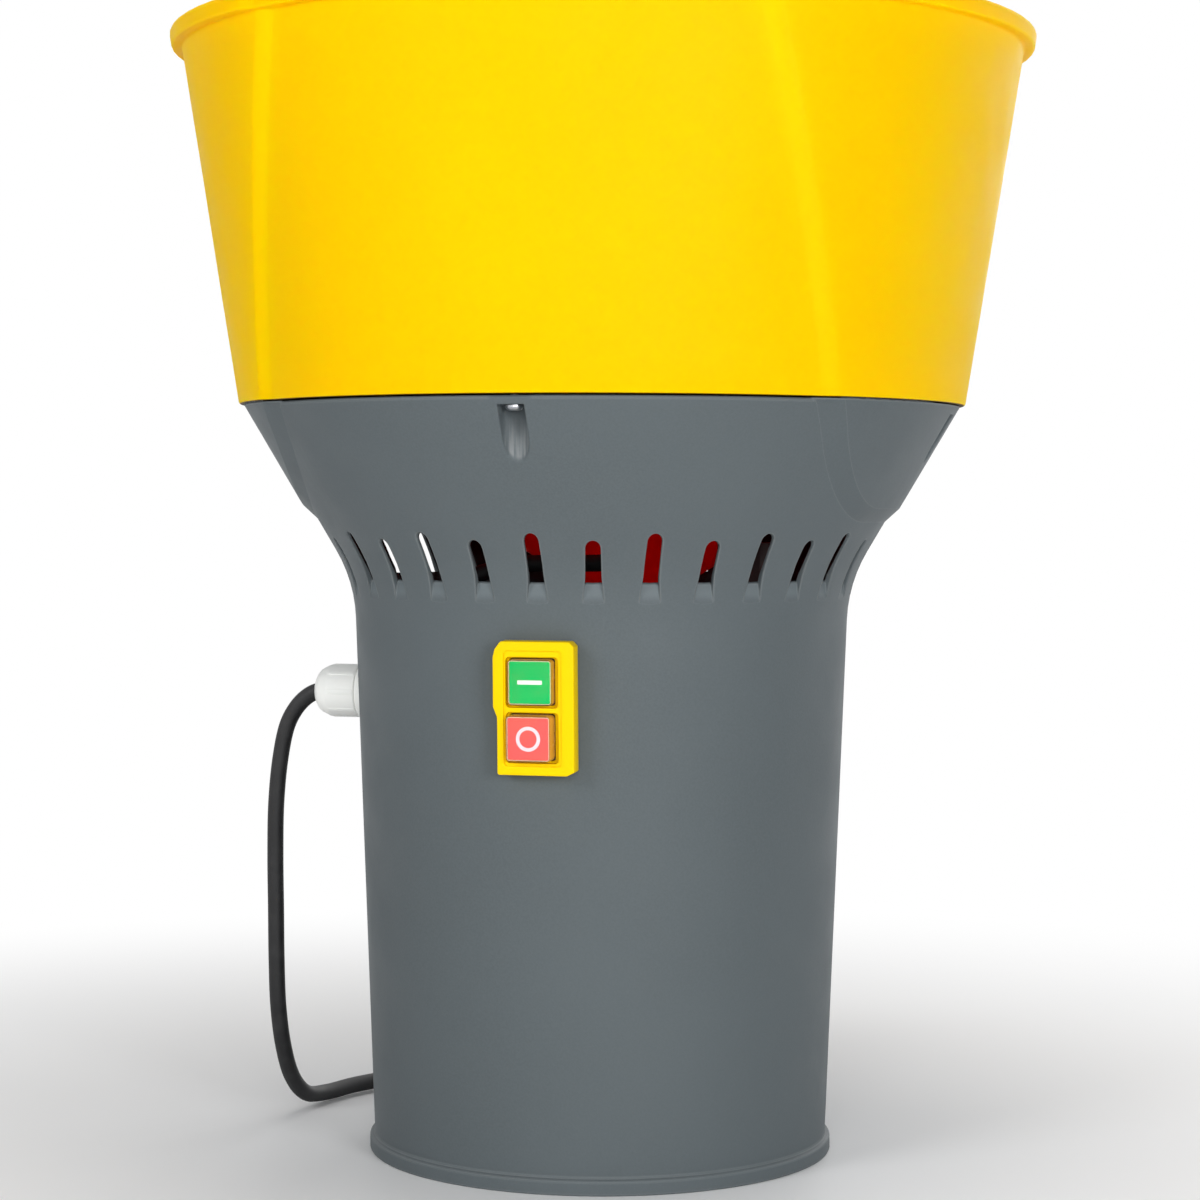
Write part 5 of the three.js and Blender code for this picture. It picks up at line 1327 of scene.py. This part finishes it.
class CRUSHER_OT_switch(bpy.types.Operator):
    """Yellow switch frame, its two buttons with their signs, and their clear boots"""

    bl_idname = "crusher.switch"
    bl_label = "Switch"

    def execute(self, context):
        self.bezel()
        for (name, proud, centre, colour, slot), sign in zip(BUTTONS, (self.bar, self.ring)):
            self.button(name, proud, centre, colour, slot)
            sign(name, proud, centre)
            self.boot(name, proud, centre)
        return {"FINISHED"}

    def bezel(self):
        """The frame, notched at its left, with a sunk field and two pits that the buttons stand in."""
        x, z, c = BEZEL_HALF_X, BEZEL_HALF_Z, 0.004
        step, right = 0.0021, BEZEL_RIGHT
        corners = [
            (-x + step, -z, 0.0012),
            (right - c, -z, 0.0015),
            (right, -z + c / 2, 0.0012),
            (right, z - c * 0.6, 0.0012),
            (right - c * 0.6, z, 0.0012),
            (-x + c, z, 0.0015),
            (-x + c / 4, z - c, 0.0015),
            (-x, z - c * 2, 0.004),
            (-x, z * 0.02, 0.004),
            (-x + step, -z * 0.14, 0.004),
        ]
        bezel = prism("bezel", rounded(corners, fine=0.0008), GAP, BEZEL_PROUD, facing())
        soften(bezel, 0.0007, 3, 50)
        field = rectangle(-x + 0.0056, x - 0.0070, -z + 0.0045, z - 0.0046, 0.002, 0.0008)
        cut(bezel, prism("field", field, BEZEL_PROUD - 0.0012, BEZEL_PROUD + 0.004, facing()))
        for _, _, centre, _, _ in BUTTONS:
            cut(bezel, self.well(centre, 0.0129, 0.0147, 0.0045, 0.0022))
            cut(bezel, self.well(centre, 0.0120, 0.0120, -0.01, 0.0016))
        settle(bezel, "switch_frame", finish("switch_yellow"), "switch_yellow", "switch_bezel", angle=30)

    def well(self, centre, left, right, near, corner):
        """A rounded square pit round a button, wider on its right, open to the front."""
        x, far = BUTTON_SHIFT, BEZEL_PROUD * 2
        outline = rectangle(x - left, x + right, centre - left, centre + left, corner, 0.0006)
        return prism("well", outline, near, far, facing())

    def square(self, half, centre, corner):
        x = BUTTON_SHIFT
        return rectangle(x - half, x + half, centre - half, centre + half, corner, 0.0004)

    def button(self, name, proud, centre, colour, slot):
        """A cap with the stem that carries it through the wall."""
        face = cap_face(proud)
        half = BUTTON_SIZE / 2 - BOOT_WALL - GAP
        cap = prism(name, self.square(half, centre, 0.0013), BUTTON_FOOT, face, facing())
        soften(cap, 0.0004, 3, 50)
        stem = slab("stem", (-0.005, -face + 0.003, centre - 0.005), (0.005, 0.0025, centre + 0.005))
        stem.data.transform(Matrix.Translation((BUTTON_SHIFT, 0, 0)))
        fuse(cap, place(stem, switch_matrix()))
        settle(cap, f"{name}_cap", finish(colour), slot, f"{name}_button", body=name)

    def bar(self, name, proud, centre):
        """The start sign, a level bar."""
        x, z = BUTTON_SHIFT, centre + 0.0001
        half, thick = 0.0064, 0.00105
        outline = rectangle(x - half, x + half, z - thick, z + thick, 0.0003, 0.0002)
        sign = prism("bar", outline, cap_face(proud) - SIGN_SUNK, cap_face(proud) + SIGN_PROUD, facing())
        settle(sign, "start_sign", finish("start_print"), "white_plastic", body=name)

    def ring(self, name, proud, centre):
        """The stop sign, a ring."""
        low, high = cap_face(proud) - SIGN_SUNK, cap_face(proud) + SIGN_PROUD
        outer, inner = 0.0063, 0.0045
        sign = turned("ring", [(outer, low), (outer, high), (inner, high), (inner, low)], 64)
        place(sign, facing(BUTTON_SHIFT, centre))
        settle(sign, "stop_sign", finish("stop_print"), "white_plastic", body=name)

    def boot(self, name, proud, centre):
        """The clear skin over a cap, open at the back."""
        face = BEZEL_PROUD + proud
        half = BUTTON_SIZE / 2
        shell = prism("boot", self.square(half, centre, 0.0024), BUTTON_FOOT, face, facing())
        soften(shell, 0.0008, 4, 50)
        hollow = self.square(half - BOOT_WALL, centre, 0.0014)
        cut(shell, prism("hollow", hollow, -0.001, face - BOOT_WALL, facing()))
        settle(shell, f"{name}_boot_skin", finish("boot"), "clear_boot", f"{name}_boot", body=name)


def gland_matrix():
    """Turns a piece made upright so that it points out of the body's left side."""
    return Matrix.Translation((0, 0, GLAND_HEIGHT)) @ Matrix.Rotation(-math.pi / 2, 4, "Y")


class CRUSHER_OT_gland(bpy.types.Operator):
    """White cable gland: flanged body, and domed and ribbed cap"""

    bl_idname = "crusher.gland"
    bl_label = "Cable gland"

    def execute(self, context):
        wall = drafted(GLAND_HEIGHT)
        thread, bore, flange = GLAND_THREAD, 0.0052, 0.005
        cap_radius, ribs = 0.0146, 8
        inside = wall - BODY_WALL - 0.005 - flange
        out = wall + GAP * 2 + flange
        body = turned(
            "gland_body_turned",
            rounded(
                [
                    (bore, inside, 0.0004),
                    (thread, inside, 0.0006),
                    (thread, wall + GAP * 2, 0),
                    (0.015, wall + GAP * 2, 0.0008),
                    (0.015, out, 0.001),
                    (thread + flange / 2, out, 0),
                    (thread + flange / 2, out + flange, 0.0004),
                    (bore, out + flange, 0.0004),
                ],
                fine=0.0008,
            ),
            48,
        )
        place(body, gland_matrix())
        settle(body, "gland_body_moulding", finish("white"), "white_plastic", "gland_body")
        start = out + GAP
        straight = start + 0.0167
        tip = straight + 0.0082
        cap = turned(
            "gland_cap_turned",
            rounded(
                [
                    (thread + flange / 2 + GAP, start, 0.0003),
                    (cap_radius, start, 0.0008),
                    (cap_radius, straight, 0.004),
                    (0.0118, tip - 0.0024, 0.006),
                    (0.0080, tip, 0.0016),
                    (bore, tip, 0.0008),
                    (bore, start + flange + GAP, 0),
                    (thread + flange / 2 + GAP, start + flange + GAP, 0),
                ],
                fine=0.0006,
            ),
            64,
        )
        for i in range(ribs):
            rib = slab("rib", (0.0128, -0.0016, start + 0.0006), (0.01485, 0.0016, straight - 0.0008))
            soften(rib, 0.0007, 3)
            rib.data.transform(about_axis(i / ribs * math.tau))
            fuse(cap, rib)
        place(cap, gland_matrix())
        settle(cap, "gland_cap_moulding", finish("white"), "white_plastic", "gland_cap")
        return {"FINISHED"}


class CRUSHER_OT_fixings(bpy.types.Operator):
    """Slotted screws under the hopper, in the funnel's flange and in the chamber plate"""

    bl_idname = "crusher.fixings"
    bl_label = "Screws"

    def execute(self, context):
        for kind, count, *sizes in SCREWS:
            for i in range(count):
                self.screw(f"{kind}_{i + 1}", *sizes)
        return {"FINISHED"}

    def screw(self, node, head, rise, shank, slot_width, way):
        """A pan-head screw with a slot, its head up or down as its node lies."""
        low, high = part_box(node)
        length = high.z - low.z
        middle = (low + high) / 2
        outline = rounded(
            [
                (0, 0, 0),
                (head * 0.7, 0.0, head * 0.5),
                (head, rise * 0.6, rise * 0.3),
                (head, rise, 0),
                (shank, rise, 0.0002),
                (shank, length - 0.001, 0.0004),
                (shank * 0.6, length, 0),
                (0, length, 0),
            ],
            closed=False,
            fine=0.0006,
        )
        screw = turned("screw", outline, POST_SIDES, closed=False)
        cut(screw, slab("slot", (-head * 2, -slot_width / 2, -0.001), (head * 2, slot_width / 2, rise * 0.5)))
        if way > 0:
            turn = Matrix.Translation((middle.x, middle.y, high.z)) @ Matrix.Rotation(math.pi, 4, "X")
        else:
            turn = Matrix.Translation((middle.x, middle.y, low.z))
        place(screw, turn)
        settle(screw, f"{node}_steel", finish("steel"), "steel", node)


class CRUSHER_OT_inner_lead(bpy.types.Operator):
    """The lead inside the body, seen as a black band behind the front slots"""

    bl_idname = "crusher.inner_lead"
    bl_label = "Inner lead"

    def execute(self, context):
        path = smooth_path(INNER_ROUTE, 6)
        lead = skinned("inner_lead", tube_rows(path, INNER_CORD_RADIUS, 16), fill=True)
        settle(lead, "inner_lead", finish("rubber"), "cord_rubber", "motor_lead")
        return {"FINISHED"}


class CRUSHER_OT_machinery(bpy.types.Operator):
    """Finishes for the parts kept from the frame"""

    bl_idname = "crusher.machinery"
    bl_label = "Machinery finishes"

    def execute(self, context):
        by_slot = {
            "dark_steel": "dark_steel",
            "black_plastic": "black",
            "sieve_steel": "sieve_steel",
            "steel": "steel",
            "blade_steel": "blade_steel",
            "motor_aluminium": "cast",
            "white_plastic": "white",
            "cord_rubber": "rubber",
            "grey_plastic": "grey",
            "yellow_plastic": "yellow",
            "red_plastic": "red",
            "switch_yellow": "switch_yellow",
            "green_plastic": "green",
            "button_red": "stop_red",
            "clear_boot": "boot",
        }
        for part in frame["record"]["subparts"]:
            paint_node(part["node"], finish(by_slot[part["material_slot"]]))
        # The capacitor's own dark brown, with a painted red reflection of the funnel
        paint_node("capacitor", finish("phenolic_red_reflection"))
        return {"FINISHED"}


class CRUSHER_PT_panel(bpy.types.Panel):
    """Lists the steps of the build"""

    bl_label = "Grain Crusher"
    bl_idname = "CRUSHER_PT_panel"
    bl_space_type = "VIEW_3D"
    bl_region_type = "UI"
    bl_category = "Grain Crusher"

    def draw(self, context):
        for step in STEPS:
            self.layout.operator(step.bl_idname)
        for group in (context.scene.crusher_body, context.scene.crusher_hopper, context.scene.crusher_colours):
            for key in group.bl_rna.properties.keys():
                if key not in ("rna_type", "name"):
                    self.layout.prop(group, key)


STEPS = (
    CRUSHER_OT_stage,
    CRUSHER_OT_lead,
    CRUSHER_OT_machinery,
    CRUSHER_OT_body,
    CRUSHER_OT_hopper,
    CRUSHER_OT_funnel,
    CRUSHER_OT_switch,
    CRUSHER_OT_gland,
    CRUSHER_OT_fixings,
    CRUSHER_OT_inner_lead,
)
GROUPS = (BodySizes, HopperSizes, FinishColours)


def register():
    for kind in (*GROUPS, *STEPS, CRUSHER_PT_panel):
        bpy.utils.register_class(kind)
    bpy.types.Scene.crusher_body = bpy.props.PointerProperty(type=BodySizes)
    bpy.types.Scene.crusher_hopper = bpy.props.PointerProperty(type=HopperSizes)
    bpy.types.Scene.crusher_colours = bpy.props.PointerProperty(type=FinishColours)


def unregister():
    del bpy.types.Scene.crusher_colours
    del bpy.types.Scene.crusher_hopper
    del bpy.types.Scene.crusher_body
    for kind in reversed((*GROUPS, *STEPS, CRUSHER_PT_panel)):
        bpy.utils.unregister_class(kind)


def main():
    """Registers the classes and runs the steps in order."""
    register()
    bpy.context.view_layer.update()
    for step in STEPS:
        group, action = step.bl_idname.split(".")
        getattr(getattr(bpy.ops, group), action)()
    fresh()


if __name__ == "__main__":
    main()
